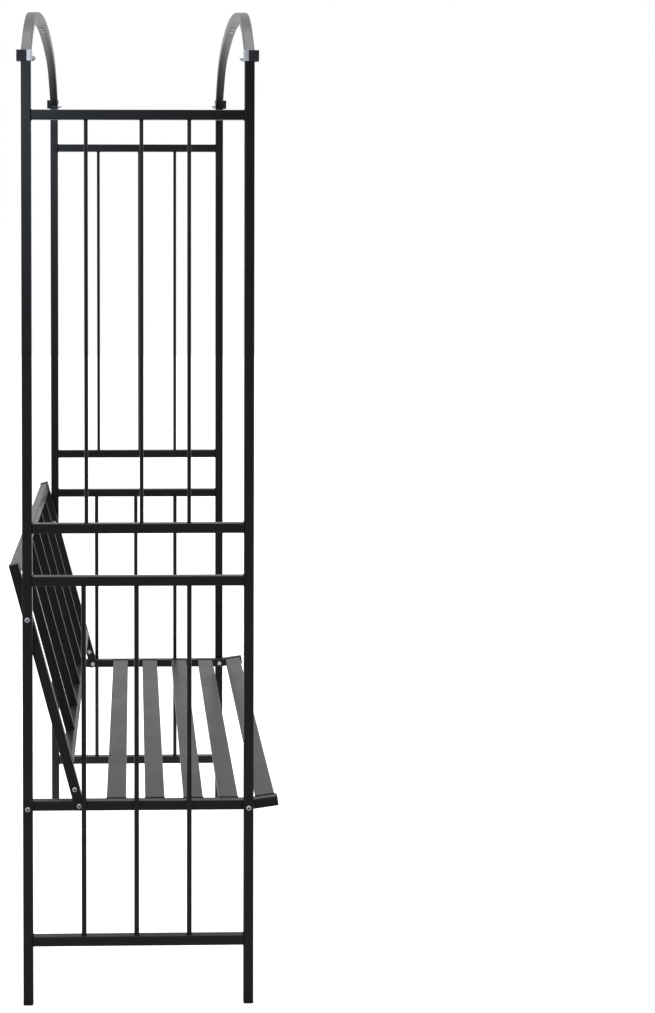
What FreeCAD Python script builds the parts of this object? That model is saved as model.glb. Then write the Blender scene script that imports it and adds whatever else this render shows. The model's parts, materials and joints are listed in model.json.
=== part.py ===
"""Garden arch with a built-in bench, in black powder-coated steel tube.

Two welded side panels, each a lower and an upper frame sleeved together in the posts, carry two
bent arch tubes. The bench, with a slatted seat and a reclined back, is bolted between the panels.
Origin: middle of the footprint on the ground. +Z is up, the seat faces -Y, X runs across the arch.
"fwd" is a distance towards the front of the bench, from the middle of the side panels.
"""
import FreeCAD, Part
import math
import os
import Sketcher
from FreeCAD import Rotation, Vector

X_AXIS, Y_AXIS, Z_AXIS = Vector(1, 0, 0), Vector(0, 1, 0), Vector(0, 0, 1)
SIDES = (("left", "-1"), ("right", "1"))
ENDS = (("rear", "-1"), ("front", "1"))

# Driving dimensions, in millimetres and degrees.
DRIVING = (
    ("width", 1280, "over the outer faces of the posts"),
    ("height", 2070, "ground to the top of the crown"),
    ("panel_depth", 468, "side panel, over the posts"),
    ("tube", 20, "side of the square tube"),
    ("wall", 1, "thickness of every tube's wall"),
    ("corner", 1.8, "outer corner radius of the square tube"),
    ("splice_z", 920, "height at which a panel's lower and upper frames meet"),
    ("bottom_rail_z", 131, "height of the bottom rail's centre"),
    ("lower_top_rail_drop", 53, "lower frame's top rail, below the splice"),
    ("upper_bottom_rail_rise", 54, "upper frame's bottom rail, above the splice"),
    ("top_rail_drop", 121, "top rail, below the spring point"),
    ("lower_bar", 10, "diameter of the lower trellis rods"),
    ("upper_bar", 8, "diameter of the upper trellis rods"),
    ("lower_bar_shift", -3.5, "lower rods, forward of even spacing"),
    ("upper_rear_bar_shift", 2.5, "upper rods, forward of even spacing"),
    ("upper_middle_bar_shift", 7, ""),
    ("upper_front_bar_shift", -4, ""),
    ("arch_rise", 133, "spring point to crown, on the tube's centreline"),
    ("arch_start", 35, "slope of the arch's straight ends, in degrees"),
    ("arch_stub", 45, "length of the arch's straight ends"),
    ("arch_end_radius", 450, "tighter bend next to each straight end"),
    ("seat_z", 403, "centre height of the seat's side rails"),
    ("seat_kink_setout", 4, "kink of the seat rails, forward of the front post's centre"),
    ("seat_lip", 56, "length of the seat rails' raised front ends"),
    ("seat_lip_angle", 8, "rise of those ends, in degrees"),
    ("slat_width", 40, "seat slats, rectangular tube"),
    ("slat_thick", 10, ""),
    ("first_slat_setout", 75.6, "rear slat, forward of the bolt at the foot of the backrest"),
    ("kink_slat_setback", 43, "fourth slat, behind the kink"),
    ("slat_step_extra", 2.3, "steps between the three rear slats, over an even share"),
    ("lip_slat_reach", 33.3, "front slat, along the raised end"),
    ("recline", 15, "backrest, degrees from upright"),
    ("back_bolt_z", 789, "height at which the backrest is bolted to the rear posts"),
    ("back_top_reach", 111, "backrest's top, along the rail from that bolt"),
    ("back_lower_rail_rise", 87, "backrest's lower rail, above the seat's side rails"),
    ("spindle_width", 10, "backrest spindles, rectangular tube"),
    ("spindle_gaps", 6, "equal gaps between the backrest's side rails"),
    ("bracket_width", 18, "plate that joins each back rail to its seat rail"),
    ("bracket_length", 54, ""),
    ("bracket_thick", 3, ""),
    ("bracket_bolt_rise", 34, "the bracket's upper bolt, above the lower one"),
    ("bolt", 6, "shank diameter of the bolts"),
    ("bolt_gap", 0.25, "bolt to the hole that it passes through"),
    ("bolt_head", 10.5, "button head diameter"),
    ("bolt_head_top", 6.5, "flat on top of the head"),
    ("bolt_head_high", 3.3, ""),
    ("bolt_socket", 4, "hexagon socket, across flats"),
    ("bolt_socket_deep", 2, ""),
    ("bolt_past_nut", 2.5, "thread showing past the nut"),
    ("nut_flats", 10, "nut, across flats"),
    ("nut_thick", 5, ""),
    ("thread_gap", 0.05, "radial clearance between shank and nut"),
    ("sleeve_gap", 0.3, "clearance of an inner sleeve, each side"),
    ("sleeve_wall", 1.5, ""),
    ("sleeve_relief", 0.4, "corners of sleeves and plugs, rounder than the tube's inner corner"),
    ("sleeve_inner_corner", 0.4, ""),
    ("sleeve_length", 80, "post sleeves and crown spigots"),
    ("elbow_leg", 40, "each leg of the corner elbows"),
    ("crown_gap", 0.6, "clearance of the straight crown spigot in the bent tube"),
    ("crown_screw_out", 25, "crown screws, from the joint"),
    ("crown_screw", 4.2, "shank diameter"),
    ("crown_screw_clearance", 0.15, "crown screw to its hole"),
    ("crown_screw_head", 8, ""),
    ("crown_screw_head_top", 5.3, "flat on top of the head"),
    ("crown_screw_head_high", 2.4, ""),
    ("crown_screw_length", 9, ""),
    ("crown_screw_gap", 0.3, "head to the tube's curved underside"),
    ("clamp_high", 22, "corner clamps, height"),
    ("clamp_centre_drop", 3, "middle of a clamp, below the spring point"),
    ("clamp_screw_drop", 8, "clamp screw, below the spring point"),
    ("clamp_block", 8.7, "depth of the black half on the post's outer side"),
    ("clamp_lip", 2, "thickness of both halves on the post's outward face"),
    ("clamp_split", 2, "where the halves meet, inward of the post's centre"),
    ("clamp_split_gap", 0.2, ""),
    ("clamp_plate", 2.5, "thickness of the bright half on the post's inner side"),
    ("clamp_counterbore_gap", 0.5, "bolt head to the counterbore"),
    ("clamp_counterbore_deep", 4, ""),
    ("plug_flange", 2, "thickness of the tube plugs outside the tube"),
    ("plug_bolt_gap", 0.3, "tube plug's insert to the bolt hole behind it"),
    ("plug_gap", 0.2, "clearance of the plug in the tube, each side"),
    ("trim_reach", 60, "half size of the slanting end cuts, more than any tube"),
)
SLATS_BEHIND_KINK = 4
LEAST_CUT = 1  # cubic millimetres that a hole or an end cut must take away

# Worked out from the driving dimensions. A name without a sheet is in this list too.
DERIVED = (
    ("bore", "Dims.tube - 2 * Dims.wall"),
    ("inner_corner", "Dims.corner - Dims.wall"),
    ("sleeve", "bore - 2 * Dims.sleeve_gap"),
    ("sleeve_corner", "inner_corner + Dims.sleeve_relief"),
    ("bolt_hole", "Dims.bolt + 2 * Dims.bolt_gap"),
    ("crown_screw_hole", "Dims.crown_screw + 2 * Dims.crown_screw_clearance"),
    ("clamp_counterbore", "Dims.bolt_head + 2 * Dims.clamp_counterbore_gap"),
    ("post_x", "(Dims.width - Dims.tube) / 2"),
    ("post_fwd", "(Dims.panel_depth - Dims.tube) / 2"),
    ("rail_length", "Dims.panel_depth - 2 * Dims.tube"),
    ("bench_rail_x", "post_x - Dims.tube"),
    ("bench_span", "Dims.width - 4 * Dims.tube"),
    ("seat_top", "Dims.seat_z + Dims.tube / 2"),
    ("spring_z", "Dims.height - Dims.tube / 2 - Dims.arch_rise"),
    ("lower_top_rail_z", "Dims.splice_z - Dims.lower_top_rail_drop"),
    ("upper_bottom_rail_z", "Dims.splice_z + Dims.upper_bottom_rail_rise"),
    ("top_rail_z", "spring_z - Dims.top_rail_drop"),
    ("mitre", "(90 - Dims.arch_start) / 2"),
    ("kink_fwd", "post_fwd + Dims.seat_kink_setout"),
    ("front_reach", "kink_fwd + (Dims.seat_lip + Dims.plug_flange) * cos(Dims.seat_lip_angle)"
                    " + Dims.tube / 2 * sin(Dims.seat_lip_angle)"),
    ("rear_reach", "post_fwd + (Dims.back_top_reach + Dims.plug_flange) * sin(Dims.recline)"
                   " + Dims.tube / 2 * cos(Dims.recline)"),
    ("panel_y", "(front_reach - rear_reach) / 2"),
    ("back_foot", "(Dims.back_bolt_z - seat_top) / cos(Dims.recline)"),
    ("bracket_bolt_z", "Dims.seat_z + Dims.bracket_bolt_rise"),
    ("back_low_rail", "(Dims.back_bolt_z - Dims.seat_z - Dims.back_lower_rail_rise) / cos(Dims.recline)"),
    ("back_seat_bolt", "(Dims.back_bolt_z - Dims.seat_z) / cos(Dims.recline)"),
    ("back_rail_bolt", "(Dims.back_bolt_z - bracket_bolt_z) / cos(Dims.recline)"),
    ("back_seat_bolt_fwd", "back_seat_bolt * sin(Dims.recline) - post_fwd"),
    ("first_slat_fwd", "back_seat_bolt_fwd + Dims.first_slat_setout"),
    ("kink_slat_fwd", "kink_fwd - Dims.kink_slat_setback"),
    ("clamp_screw_z", "spring_z - Dims.clamp_screw_drop"),
    ("crown_spigot", "bore - 2 * Dims.crown_gap"),
    ("nut_grip", "Dims.nut_thick + Dims.bolt_past_nut"),
    ("plug_insert", "(Dims.tube - bolt_hole) / 2 - Dims.plug_flange - Dims.plug_bolt_gap"),
)

doc = FreeCAD.newDocument("GardenArch")
dims = doc.addObject("Spreadsheet::Sheet", "Dims")
derived = doc.addObject("Spreadsheet::Sheet", "Derived")
for row, (alias, value, meaning) in enumerate(DRIVING, 1):
    dims.set(f"A{row}", f"{alias}: {meaning}" if meaning else alias)
    dims.set(f"B{row}", str(value))
    dims.setAlias(f"B{row}", alias)
for row, (alias, formula) in enumerate(DERIVED, 1):
    derived.set(f"A{row}", alias)
    derived.set(f"B{row}", f"={formula}")
    derived.setAlias(f"B{row}", alias)
doc.recompute()

nodes = {}


def number(expression):
    return float(derived.evalExpression(expression))


def place(piece, x="0", fwd="0", z="0", axis=None, angle=None):
    """Binds a piece's place: x, a distance forward of the panels' middle, a height and a turn."""
    if angle:
        piece.Placement.Rotation = Rotation(axis, 1)
        piece.setExpression("Placement.Rotation.Angle", angle)
    piece.setExpression("Placement.Base.x", x)
    piece.setExpression("Placement.Base.y", f"Derived.panel_y - ({fwd})")
    piece.setExpression("Placement.Base.z", z)


def new_body(label):
    part = doc.addObject("PartDesign::Body", label)
    part.Label = label
    return part


# ---------------------------------------------------------------- sketches

def sketch_on(part, role, name, x="0", y="0", lift="0", axis=Z_AXIS, angle=None):
    """A sketch on one of the body's own planes, moved and turned in that plane's coordinates."""
    sketch = part.newObject("Sketcher::SketchObject", name)
    plane = next(f for f in part.Origin.OriginFeatures if f.Role == role)
    sketch.AttachmentSupport = [(plane, "")]
    sketch.MapMode = "FlatFace"
    if angle:
        sketch.AttachmentOffset.Rotation = Rotation(axis, 1)
        sketch.setExpression("AttachmentOffset.Rotation.Angle", angle)
    for letter, distance in (("x", x), ("y", y), ("z", lift)):
        if distance != "0":
            sketch.setExpression(f"AttachmentOffset.Base.{letter}", distance)
    return sketch


def bind(sketch, kind, *where, size):
    """Adds one dimension to a sketch and binds it to an expression."""
    index = sketch.addConstraint(Sketcher.Constraint(kind, *where, number(size)))
    sketch.renameConstraint(index, f"size_{index}")
    sketch.setExpression(f"Constraints.size_{index}", size)


def pin_point(sketch, edge, end, x, y):
    """Ties one end of an edge to coordinates measured from the sketch's origin."""
    for kind, axis_line, distance in (("DistanceX", -2, x), ("DistanceY", -1, y)):
        if distance == "0":
            sketch.addConstraint(Sketcher.Constraint("PointOnObject", edge, end, axis_line))
        else:
            bind(sketch, kind, -1, 1, edge, end, size=distance)


def rounded_rectangle(sketch, wide, tall, corner):
    """A closed rectangle with round corners, centred on the sketch's origin."""
    half_wide, half_tall, radius = number(wide) / 2, number(tall) / 2, number(corner)
    reach_x, reach_y = half_wide - radius, half_tall - radius
    centres = ((reach_x, reach_y), (-reach_x, reach_y), (-reach_x, -reach_y), (reach_x, -reach_y))
    arcs, lines, ends = [], [], []
    for quarter, (x, y) in enumerate(centres):
        circle = Part.Circle(Vector(x, y, 0), Z_AXIS, radius)
        start = quarter * math.pi / 2
        arc = Part.ArcOfCircle(circle, start, start + math.pi / 2)
        arcs.append(sketch.addGeometry(arc, False))
        ends.append((arc.StartPoint, arc.EndPoint))
    for quarter in range(4):
        line = Part.LineSegment(ends[quarter][1], ends[(quarter + 1) % 4][0])
        lines.append(sketch.addGeometry(line, False))
    for quarter in range(4):
        following = arcs[(quarter + 1) % 4]
        level = "Vertical" if quarter % 2 else "Horizontal"
        sketch.addConstraint(Sketcher.Constraint("Tangent", arcs[quarter], 2, lines[quarter], 1))
        sketch.addConstraint(Sketcher.Constraint("Tangent", lines[quarter], 2, following, 1))
        sketch.addConstraint(Sketcher.Constraint(level, lines[quarter]))
    for arc in arcs[1:]:
        sketch.addConstraint(Sketcher.Constraint("Equal", arcs[0], arc))
    sketch.addConstraint(Sketcher.Constraint("Symmetric", arcs[0], 3, arcs[2], 3, -1, 1))
    bind(sketch, "Radius", arcs[0], size=corner)
    bind(sketch, "DistanceX", lines[1], 1, lines[3], 1, size=wide)
    bind(sketch, "DistanceY", lines[2], 1, lines[0], 1, size=tall)


def tube_section(sketch, wide, tall):
    """The outline and the bore of a tube with the frame's wall and corners."""
    rounded_rectangle(sketch, wide, tall, "Dims.corner")
    rounded_rectangle(sketch, f"{wide} - 2 * Dims.wall", f"{tall} - 2 * Dims.wall", "Derived.inner_corner")


def sleeve_section(sketch, side):
    """The outline and the bore of an inner sleeve, its corners inside those of the tube."""
    rounded_rectangle(sketch, side, side, "Derived.sleeve_corner")
    inside = f"{side} - 2 * Dims.sleeve_wall"
    rounded_rectangle(sketch, inside, inside, "Dims.sleeve_inner_corner")


def polyline(sketch, corners, closed=True):
    """Straight edges through corners given as pairs of expressions."""
    points = [Vector(number(x), number(y), 0) for x, y in corners]
    following = points[1:] + points[:1] if closed else points[1:]
    edges = [sketch.addGeometry(Part.LineSegment(a, b), False) for a, b in zip(points, following)]
    for edge, after in zip(edges, edges[1:] + edges[:1] if closed else edges[1:]):
        sketch.addConstraint(Sketcher.Constraint("Coincident", edge, 2, after, 1))
    for edge, (x, y) in zip(edges, corners):
        pin_point(sketch, edge, 1, x, y)
    if not closed:
        pin_point(sketch, edges[-1], 2, *corners[-1])
    return edges


# ---------------------------------------------------------------- features

def pad(part, sketch, length, middle=False, reverse=False):
    feature = part.newObject("PartDesign::Pad", "Pad")
    feature.Profile = sketch
    feature.SideType = "Symmetric" if middle else "One side"
    feature.Reversed = reverse
    feature.setExpression("Length", length)
    return feature


def pocket(part, sketch, length, middle=True):
    feature = part.newObject("PartDesign::Pocket", "Pocket")
    feature.Profile = sketch
    feature.SideType = "Symmetric" if middle else "One side"
    feature.setExpression("Length", length)
    return feature


def pipe(part, section, path):
    feature = part.newObject("PartDesign::AdditivePipe", "Pipe")
    feature.Profile = section
    feature.Spine = (path, [f"Edge{n + 1}" for n in range(path.GeometryCount)])
    feature.Transition = "Right corner"
    return feature


def trim(part, role, x, y, angle, above):
    """Cuts off everything above, or below, a slanting line through x, y."""
    sketch = sketch_on(part, role, "EndCut", x, y, angle=angle)
    far = "Dims.trim_reach" if above else "-Dims.trim_reach"
    near_side, far_side = ("-Dims.trim_reach", "0"), ("Dims.trim_reach", "0")
    polyline(sketch, [near_side, far_side, ("Dims.trim_reach", far), ("-Dims.trim_reach", far)])
    pocket(part, sketch, "2 * Dims.trim_reach")


def cross_holes(part, role, spots, size="Derived.bolt_hole", length="2 * Dims.tube", middle=True, lift="0"):
    """Round holes square to one of the body's planes, at pairs of expressions."""
    sketch = sketch_on(part, role, "Holes", lift=lift)
    for x, y in spots:
        circle = Part.Circle(Vector(number(x), number(y), 0), Z_AXIS, number(size) / 2)
        index = sketch.addGeometry(circle, False)
        pin_point(sketch, index, 3, x, y)
        bind(sketch, "Diameter", index, size=size)
    pocket(part, sketch, length, middle)


PLANE_ACROSS = {"X": "YZ_Plane", "Y": "XZ_Plane", "Z": "XY_Plane"}


def straight_tube(label, along, length, wide="Dims.tube", tall="Dims.tube", middle=False):
    """A body with one straight tube along X, Y (towards the front) or Z, from its own origin."""
    part = new_body(label)
    section = sketch_on(part, PLANE_ACROSS[along], "Section")
    tube_section(section, wide, tall)
    pad(part, section, length, middle)
    return part


def keep(part):
    nodes[part.Label] = part
    return part


# ---------------------------------------------------------------- side panels

def lower_post(side, sign, end, way):
    part = keep(straight_tube(f"{side}_lower_post_{end}", "Z", "Dims.splice_z - Dims.plug_flange"))
    place(part, f"{sign} * Derived.post_x", f"{way} * Derived.post_fwd", "Dims.plug_flange")
    heights = ["Dims.seat_z"] if end == "front" else ["Dims.seat_z", "Dims.back_bolt_z"]
    cross_holes(part, "YZ_Plane", [("0", f"{height} - Dims.plug_flange") for height in heights])


def upper_post(side, sign, end, way):
    """Cut at the top to half the angle that it makes with the arch; the right one is turned round."""
    part = keep(straight_tube(f"{side}_upper_post_{end}", "Z",
                              "Derived.spring_z - Dims.splice_z + Dims.tube"))
    turn = "180" if side == "right" else None
    place(part, f"{sign} * Derived.post_x", f"{way} * Derived.post_fwd", "Dims.splice_z", Z_AXIS, turn)
    trim(part, "XZ_Plane", "0", "Derived.spring_z - Dims.splice_z", "-Derived.mitre", above=True)
    cross_holes(part, "XZ_Plane", [("0", "Derived.clamp_screw_z - Dims.splice_z")])


def panel_rail(side, sign, name, height):
    part = keep(straight_tube(f"{side}_{name}", "Y", "Derived.rail_length", middle=True))
    place(part, f"{sign} * Derived.post_x", z=height)


def trellis_rod(side, sign, name, size, slot, shift, low_rail, high_rail):
    """One rod, standing between two rails at its share of the gap between the posts."""
    part = keep(new_body(f"{side}_{name}"))
    sketch = sketch_on(part, "XY_Plane", "Section")
    circle = sketch.addGeometry(Part.Circle(Vector(0, 0, 0), Z_AXIS, number(size) / 2), False)
    sketch.addConstraint(Sketcher.Constraint("Coincident", circle, 3, -1, 1))
    bind(sketch, "Diameter", circle, size=size)
    pad(part, sketch, f"{high_rail} - {low_rail} - Dims.tube")
    place(part, f"{sign} * Derived.post_x", f"{slot} * Derived.rail_length / 4 + {shift}",
          f"{low_rail} + Dims.tube / 2")


RAILS = (("bottom_rail", "Dims.bottom_rail_z"), ("lower_frame_top_rail", "Derived.lower_top_rail_z"),
         ("upper_frame_bottom_rail", "Derived.upper_bottom_rail_z"), ("top_rail", "Derived.top_rail_z"))
for side, sign in SIDES:
    for end, way in ENDS:
        lower_post(side, sign, end, way)
        upper_post(side, sign, end, way)
    for name, height in RAILS:
        panel_rail(side, sign, name, height)
    for slot, spot in ((-1, "rear"), (0, "middle"), (1, "front")):
        trellis_rod(side, sign, f"lower_rod_{spot}", "Dims.lower_bar", slot, "Dims.lower_bar_shift",
                    "Dims.bottom_rail_z", "Derived.lower_top_rail_z")
        trellis_rod(side, sign, f"upper_rod_{spot}", "Dims.upper_bar", slot,
                    f"Dims.upper_{spot}_bar_shift", "Derived.upper_bottom_rail_z", "Derived.top_rail_z")


# ---------------------------------------------------------------- arches

def arch_path(part):
    """A straight end through the origin, a tight bend, then a wide bend that is level at the crown."""
    start = math.radians(number("Dims.arch_start"))
    stub, tight = number("Dims.arch_stub"), number("Dims.arch_end_radius")
    span, rise = number("Derived.post_x"), number("Dims.arch_rise")
    across = span - stub * math.cos(start) - tight * math.sin(start)
    upward = rise - stub * math.sin(start) - tight * (1 - math.cos(start))
    shared = 2 * math.atan(upward / across)
    wide = tight + across / math.sin(shared)
    direction = Vector(math.cos(start), math.sin(start), 0)
    normal = Vector(math.sin(start), -math.cos(start), 0)
    bend_start = direction * stub
    tight_centre = bend_start + normal * tight
    wide_centre = Vector(span, rise - wide, 0)

    sketch = sketch_on(part, "XZ_Plane", "Path")
    line = sketch.addGeometry(Part.LineSegment(direction * -number("Dims.tube"), bend_start), False)
    quarter = math.pi / 2
    tight_arc = Part.ArcOfCircle(Part.Circle(tight_centre, Z_AXIS, tight), quarter + shared, quarter + start)
    wide_arc = Part.ArcOfCircle(Part.Circle(wide_centre, Z_AXIS, wide), quarter, quarter + shared)
    tight_arc, wide_arc = sketch.addGeometry(tight_arc, False), sketch.addGeometry(wide_arc, False)
    sketch.addConstraint(Sketcher.Constraint("Tangent", line, 2, tight_arc, 2))
    sketch.addConstraint(Sketcher.Constraint("Tangent", tight_arc, 1, wide_arc, 2))
    pin_point(sketch, line, 1, "-Dims.tube * cos(Dims.arch_start)", "-Dims.tube * sin(Dims.arch_start)")
    pin_point(sketch, line, 2, "Dims.arch_stub * cos(Dims.arch_start)",
              "Dims.arch_stub * sin(Dims.arch_start)")
    bind(sketch, "Radius", tight_arc, size="Dims.arch_end_radius")
    pin_point(sketch, wide_arc, 1, "Derived.post_x", "Dims.arch_rise")
    bind(sketch, "DistanceX", -1, 1, wide_arc, 3, size="Derived.post_x")
    return sketch


def arch_half(side, sign, end, way):
    """Its own origin is the spring point; the right half is the left one turned round."""
    part = keep(new_body(f"{side}_arch_{end}"))
    path = arch_path(part)
    section = sketch_on(part, "XY_Plane", "Section", "-Dims.tube * cos(Dims.arch_start)", "0",
                        "-Dims.tube * sin(Dims.arch_start)", Y_AXIS, "90 - Dims.arch_start")
    tube_section(section, "Dims.tube", "Dims.tube")
    pipe(part, section, path)
    trim(part, "XZ_Plane", "0", "0", "-Derived.mitre", above=False)
    cross_holes(part, "XY_Plane", [("Derived.post_x - Dims.crown_screw_out", "0")],
                "Derived.crown_screw_hole", "Dims.tube", middle=False, lift="Dims.arch_rise")
    turn = "180" if side == "right" else None
    place(part, f"{sign} * Derived.post_x", f"{way} * Derived.post_fwd", "Derived.spring_z", Z_AXIS, turn)


for side, sign in SIDES:
    for end, way in ENDS:
        arch_half(side, sign, end, way)


# ---------------------------------------------------------------- bench seat

def seat_rail(side, sign):
    """Runs level from behind the rear post to just past the front post, then rises a little."""
    part = keep(new_body(f"{side}_seat_rail"))
    path = sketch_on(part, "YZ_Plane", "Path")
    rear_end = "Derived.post_fwd + Dims.tube / 2 - Dims.plug_flange"
    polyline(path, [(rear_end, "0"), ("-Derived.kink_fwd", "0"),
                    ("-Derived.kink_fwd - Dims.seat_lip * cos(Dims.seat_lip_angle)",
                     "Dims.seat_lip * sin(Dims.seat_lip_angle)")], closed=False)
    section = sketch_on(part, "XZ_Plane", "Section", lift=f"-({rear_end})")
    tube_section(section, "Dims.tube", "Dims.tube")
    pipe(part, section, path)
    cross_holes(part, "YZ_Plane", [("Derived.post_fwd", "0"), ("-Derived.post_fwd", "0"),
                                   ("-Derived.back_seat_bolt_fwd", "0")])
    place(part, f"{sign} * Derived.bench_rail_x", z="Dims.seat_z")


def seat_slat(label, fwd, z, angle=None):
    part = keep(straight_tube(label, "X", "Derived.bench_span", "Dims.slat_width", "Dims.slat_thick", True))
    place(part, "0", fwd, z, X_AXIS, angle)


for side, sign in SIDES:
    seat_rail(side, sign)
level_slat_z = "Derived.seat_top - Dims.slat_thick / 2"
slat_step = f"(Derived.kink_slat_fwd - Derived.first_slat_fwd) / {SLATS_BEHIND_KINK - 1}"
for count in range(SLATS_BEHIND_KINK - 1):
    seat_slat(f"seat_slat_{count + 1}",
              f"Derived.first_slat_fwd + {count} * ({slat_step} + Dims.slat_step_extra)", level_slat_z)
seat_slat(f"seat_slat_{SLATS_BEHIND_KINK}", "Derived.kink_slat_fwd", level_slat_z)
lip_slat_lift = "(Dims.tube - Dims.slat_thick) / 2"
seat_slat(f"seat_slat_{SLATS_BEHIND_KINK + 1}",
          f"Derived.kink_fwd + Dims.lip_slat_reach * cos(Dims.seat_lip_angle)"
          f" - {lip_slat_lift} * sin(Dims.seat_lip_angle)",
          f"Dims.seat_z + Dims.lip_slat_reach * sin(Dims.seat_lip_angle)"
          f" + {lip_slat_lift} * cos(Dims.seat_lip_angle)", "-Dims.seat_lip_angle")


# ---------------------------------------------------------------- backrest

def place_on_back(piece, x, along):
    """Puts a piece on the reclined line of the back, so far up it from the bolt in the rear posts."""
    place(piece, x, f"-Derived.post_fwd - ({along}) * sin(Dims.recline)",
          f"Dims.back_bolt_z + ({along}) * cos(Dims.recline)", X_AXIS, "-Dims.recline")


def back_side_rail(side, sign):
    """Cut level where it stands on the seat rail."""
    part = keep(new_body(f"{side}_back_rail"))
    section = sketch_on(part, "XY_Plane", "Section", lift="-Derived.back_foot - Dims.tube")
    tube_section(section, "Dims.tube", "Dims.tube")
    pad(part, section, "Derived.back_foot + Dims.tube + Dims.back_top_reach")
    trim(part, "YZ_Plane", "0", "-Derived.back_foot", "Dims.recline", above=False)
    cross_holes(part, "YZ_Plane", [("0", "0"), ("0", "-Derived.back_rail_bolt")])
    place_on_back(part, f"{sign} * Derived.bench_rail_x", "0")


def bracket(side, sign):
    part = keep(new_body(f"{side}_back_bracket"))
    section = sketch_on(part, "YZ_Plane", "Outline")
    rounded_rectangle(section, "Dims.bracket_width", "Dims.bracket_length", "Dims.corner")
    pad(part, section, "Dims.bracket_thick", middle=True)
    half_gap = "(Derived.back_seat_bolt - Derived.back_rail_bolt) / 2"
    cross_holes(part, "YZ_Plane", [("0", half_gap), ("0", f"-{half_gap}")])
    place_on_back(part, f"{sign} * (Derived.bench_span - Dims.bracket_thick) / 2",
                  "-(Derived.back_seat_bolt + Derived.back_rail_bolt) / 2")


for side, sign in SIDES:
    back_side_rail(side, sign)
    bracket(side, sign)
top_rail_along = "Dims.back_top_reach - Dims.tube / 2"
for label, along in (("back_top_rail", top_rail_along), ("back_lower_rail", "-Derived.back_low_rail")):
    place_on_back(keep(straight_tube(label, "X", "Derived.bench_span", middle=True)), "0", along)
for count in range(1, 6):
    spindle = keep(straight_tube(f"back_spindle_{count}", "Z",
                                 f"{top_rail_along} + Derived.back_low_rail - Dims.tube",
                                 "Dims.spindle_width", "Dims.tube"))
    place_on_back(spindle, f"Derived.bench_span * ({count} / Dims.spindle_gaps - 0.5)",
                  "Dims.tube / 2 - Derived.back_low_rail")


# ---------------------------------------------------------------- groups of like pieces

def group(label, *batches):
    """One node made of copies: each batch is a master piece and its spots."""
    copies = []
    for master, spots in batches:
        for spot in spots:
            copy = doc.addObject("App::Link", f"{label}_{len(copies) + 1}")
            copy.LinkedObject = master
            place(copy, *spot)
            copies.append(copy)
    node = doc.addObject("Part::Compound", label)
    node.Label = label
    node.Links = copies
    keep(node)


def at_posts(z):
    return [(f"{sign} * Derived.post_x", f"{way} * Derived.post_fwd", z)
            for _, sign in SIDES for _, way in ENDS]


def sleeve_master():
    part = new_body("sleeve_master")
    section = sketch_on(part, "XY_Plane", "Section")
    sleeve_section(section, "Derived.sleeve")
    pad(part, section, "Dims.sleeve_length", middle=True)
    return part


def spigot_master():
    """Straight, and slimmer than the post sleeves, so that it enters the gently bent tube."""
    part = new_body("spigot_master")
    section = sketch_on(part, "YZ_Plane", "Section")
    sleeve_section(section, "Derived.crown_spigot")
    pad(part, section, "Dims.sleeve_length", middle=True)
    cross_holes(part, "XY_Plane", [("Dims.crown_screw_out", "0"), ("-Dims.crown_screw_out", "0")],
                "Derived.crown_screw_hole", "Dims.tube", middle=False)
    return part


def elbow_master():
    """Joins a post to an arch: one leg down the post, the other up the arch's straight end."""
    part = new_body("elbow_master")
    path = sketch_on(part, "XZ_Plane", "Path")
    polyline(path, [("0", "-Dims.elbow_leg"), ("0", "0"),
                    ("Dims.elbow_leg * cos(Dims.arch_start)", "Dims.elbow_leg * sin(Dims.arch_start)")],
             closed=False)
    section = sketch_on(part, "XY_Plane", "Section", lift="-Dims.elbow_leg")
    sleeve_section(section, "Derived.sleeve")
    pipe(part, section, path)
    cross_holes(part, "XZ_Plane", [("0", "-Dims.clamp_screw_drop")])
    return part


def clamp_shell_master():
    """The black half, on the outer side of a left front post and half of its outward face."""
    part = new_body("clamp_shell_master")
    sketch = sketch_on(part, "XY_Plane", "Outline")
    post, lip, back = "Dims.tube / 2", "-Dims.tube / 2 - Dims.clamp_lip", "-Dims.tube / 2 - Dims.clamp_block"
    polyline(sketch, [(lip, back), (post, back), (post, f"-{post}"), (f"-{post}", f"-{post}"),
                      (f"-{post}", "Dims.clamp_split"), (lip, "Dims.clamp_split")])
    pad(part, sketch, "Dims.clamp_high", middle=True)
    screw = [("0", "Dims.clamp_centre_drop - Dims.clamp_screw_drop")]
    cross_holes(part, "XZ_Plane", screw, length="4 * Dims.tube")
    cross_holes(part, "XZ_Plane", screw, "Derived.clamp_counterbore", "Dims.clamp_counterbore_deep",
                middle=False, lift="Dims.tube / 2 + Dims.clamp_block")
    return part


def clamp_plate_master():
    """The bright half, on the inner side of the same post."""
    part = new_body("clamp_plate_master")
    sketch = sketch_on(part, "XY_Plane", "Outline")
    post, lip, back = "Dims.tube / 2", "-Dims.tube / 2 - Dims.clamp_lip", "Dims.tube / 2 + Dims.clamp_plate"
    split = "Dims.clamp_split + Dims.clamp_split_gap"
    polyline(sketch, [(lip, split), (f"-{post}", split), (f"-{post}", post), (post, post),
                      (post, back), (lip, back)])
    pad(part, sketch, "Dims.clamp_high", middle=True)
    cross_holes(part, "XZ_Plane", [("0", "Dims.clamp_centre_drop - Dims.clamp_screw_drop")],
                length="4 * Dims.tube")
    return part


def mirrored(master):
    """The same piece for the other hand."""
    copy = doc.addObject("Part::Mirroring", f"{master.Name}_mirror")
    copy.Source = master
    copy.Normal = X_AXIS
    return copy


def primitive(kind, name, **sizes):
    shape = doc.addObject(kind, name)
    for property_name, expression in sizes.items():
        shape.setExpression(property_name.replace("__", "."), expression)
    return shape


def boolean(kind, name, base, tool):
    shape = doc.addObject(kind, name)
    shape.Base, shape.Tool = base, tool
    return shape


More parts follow.
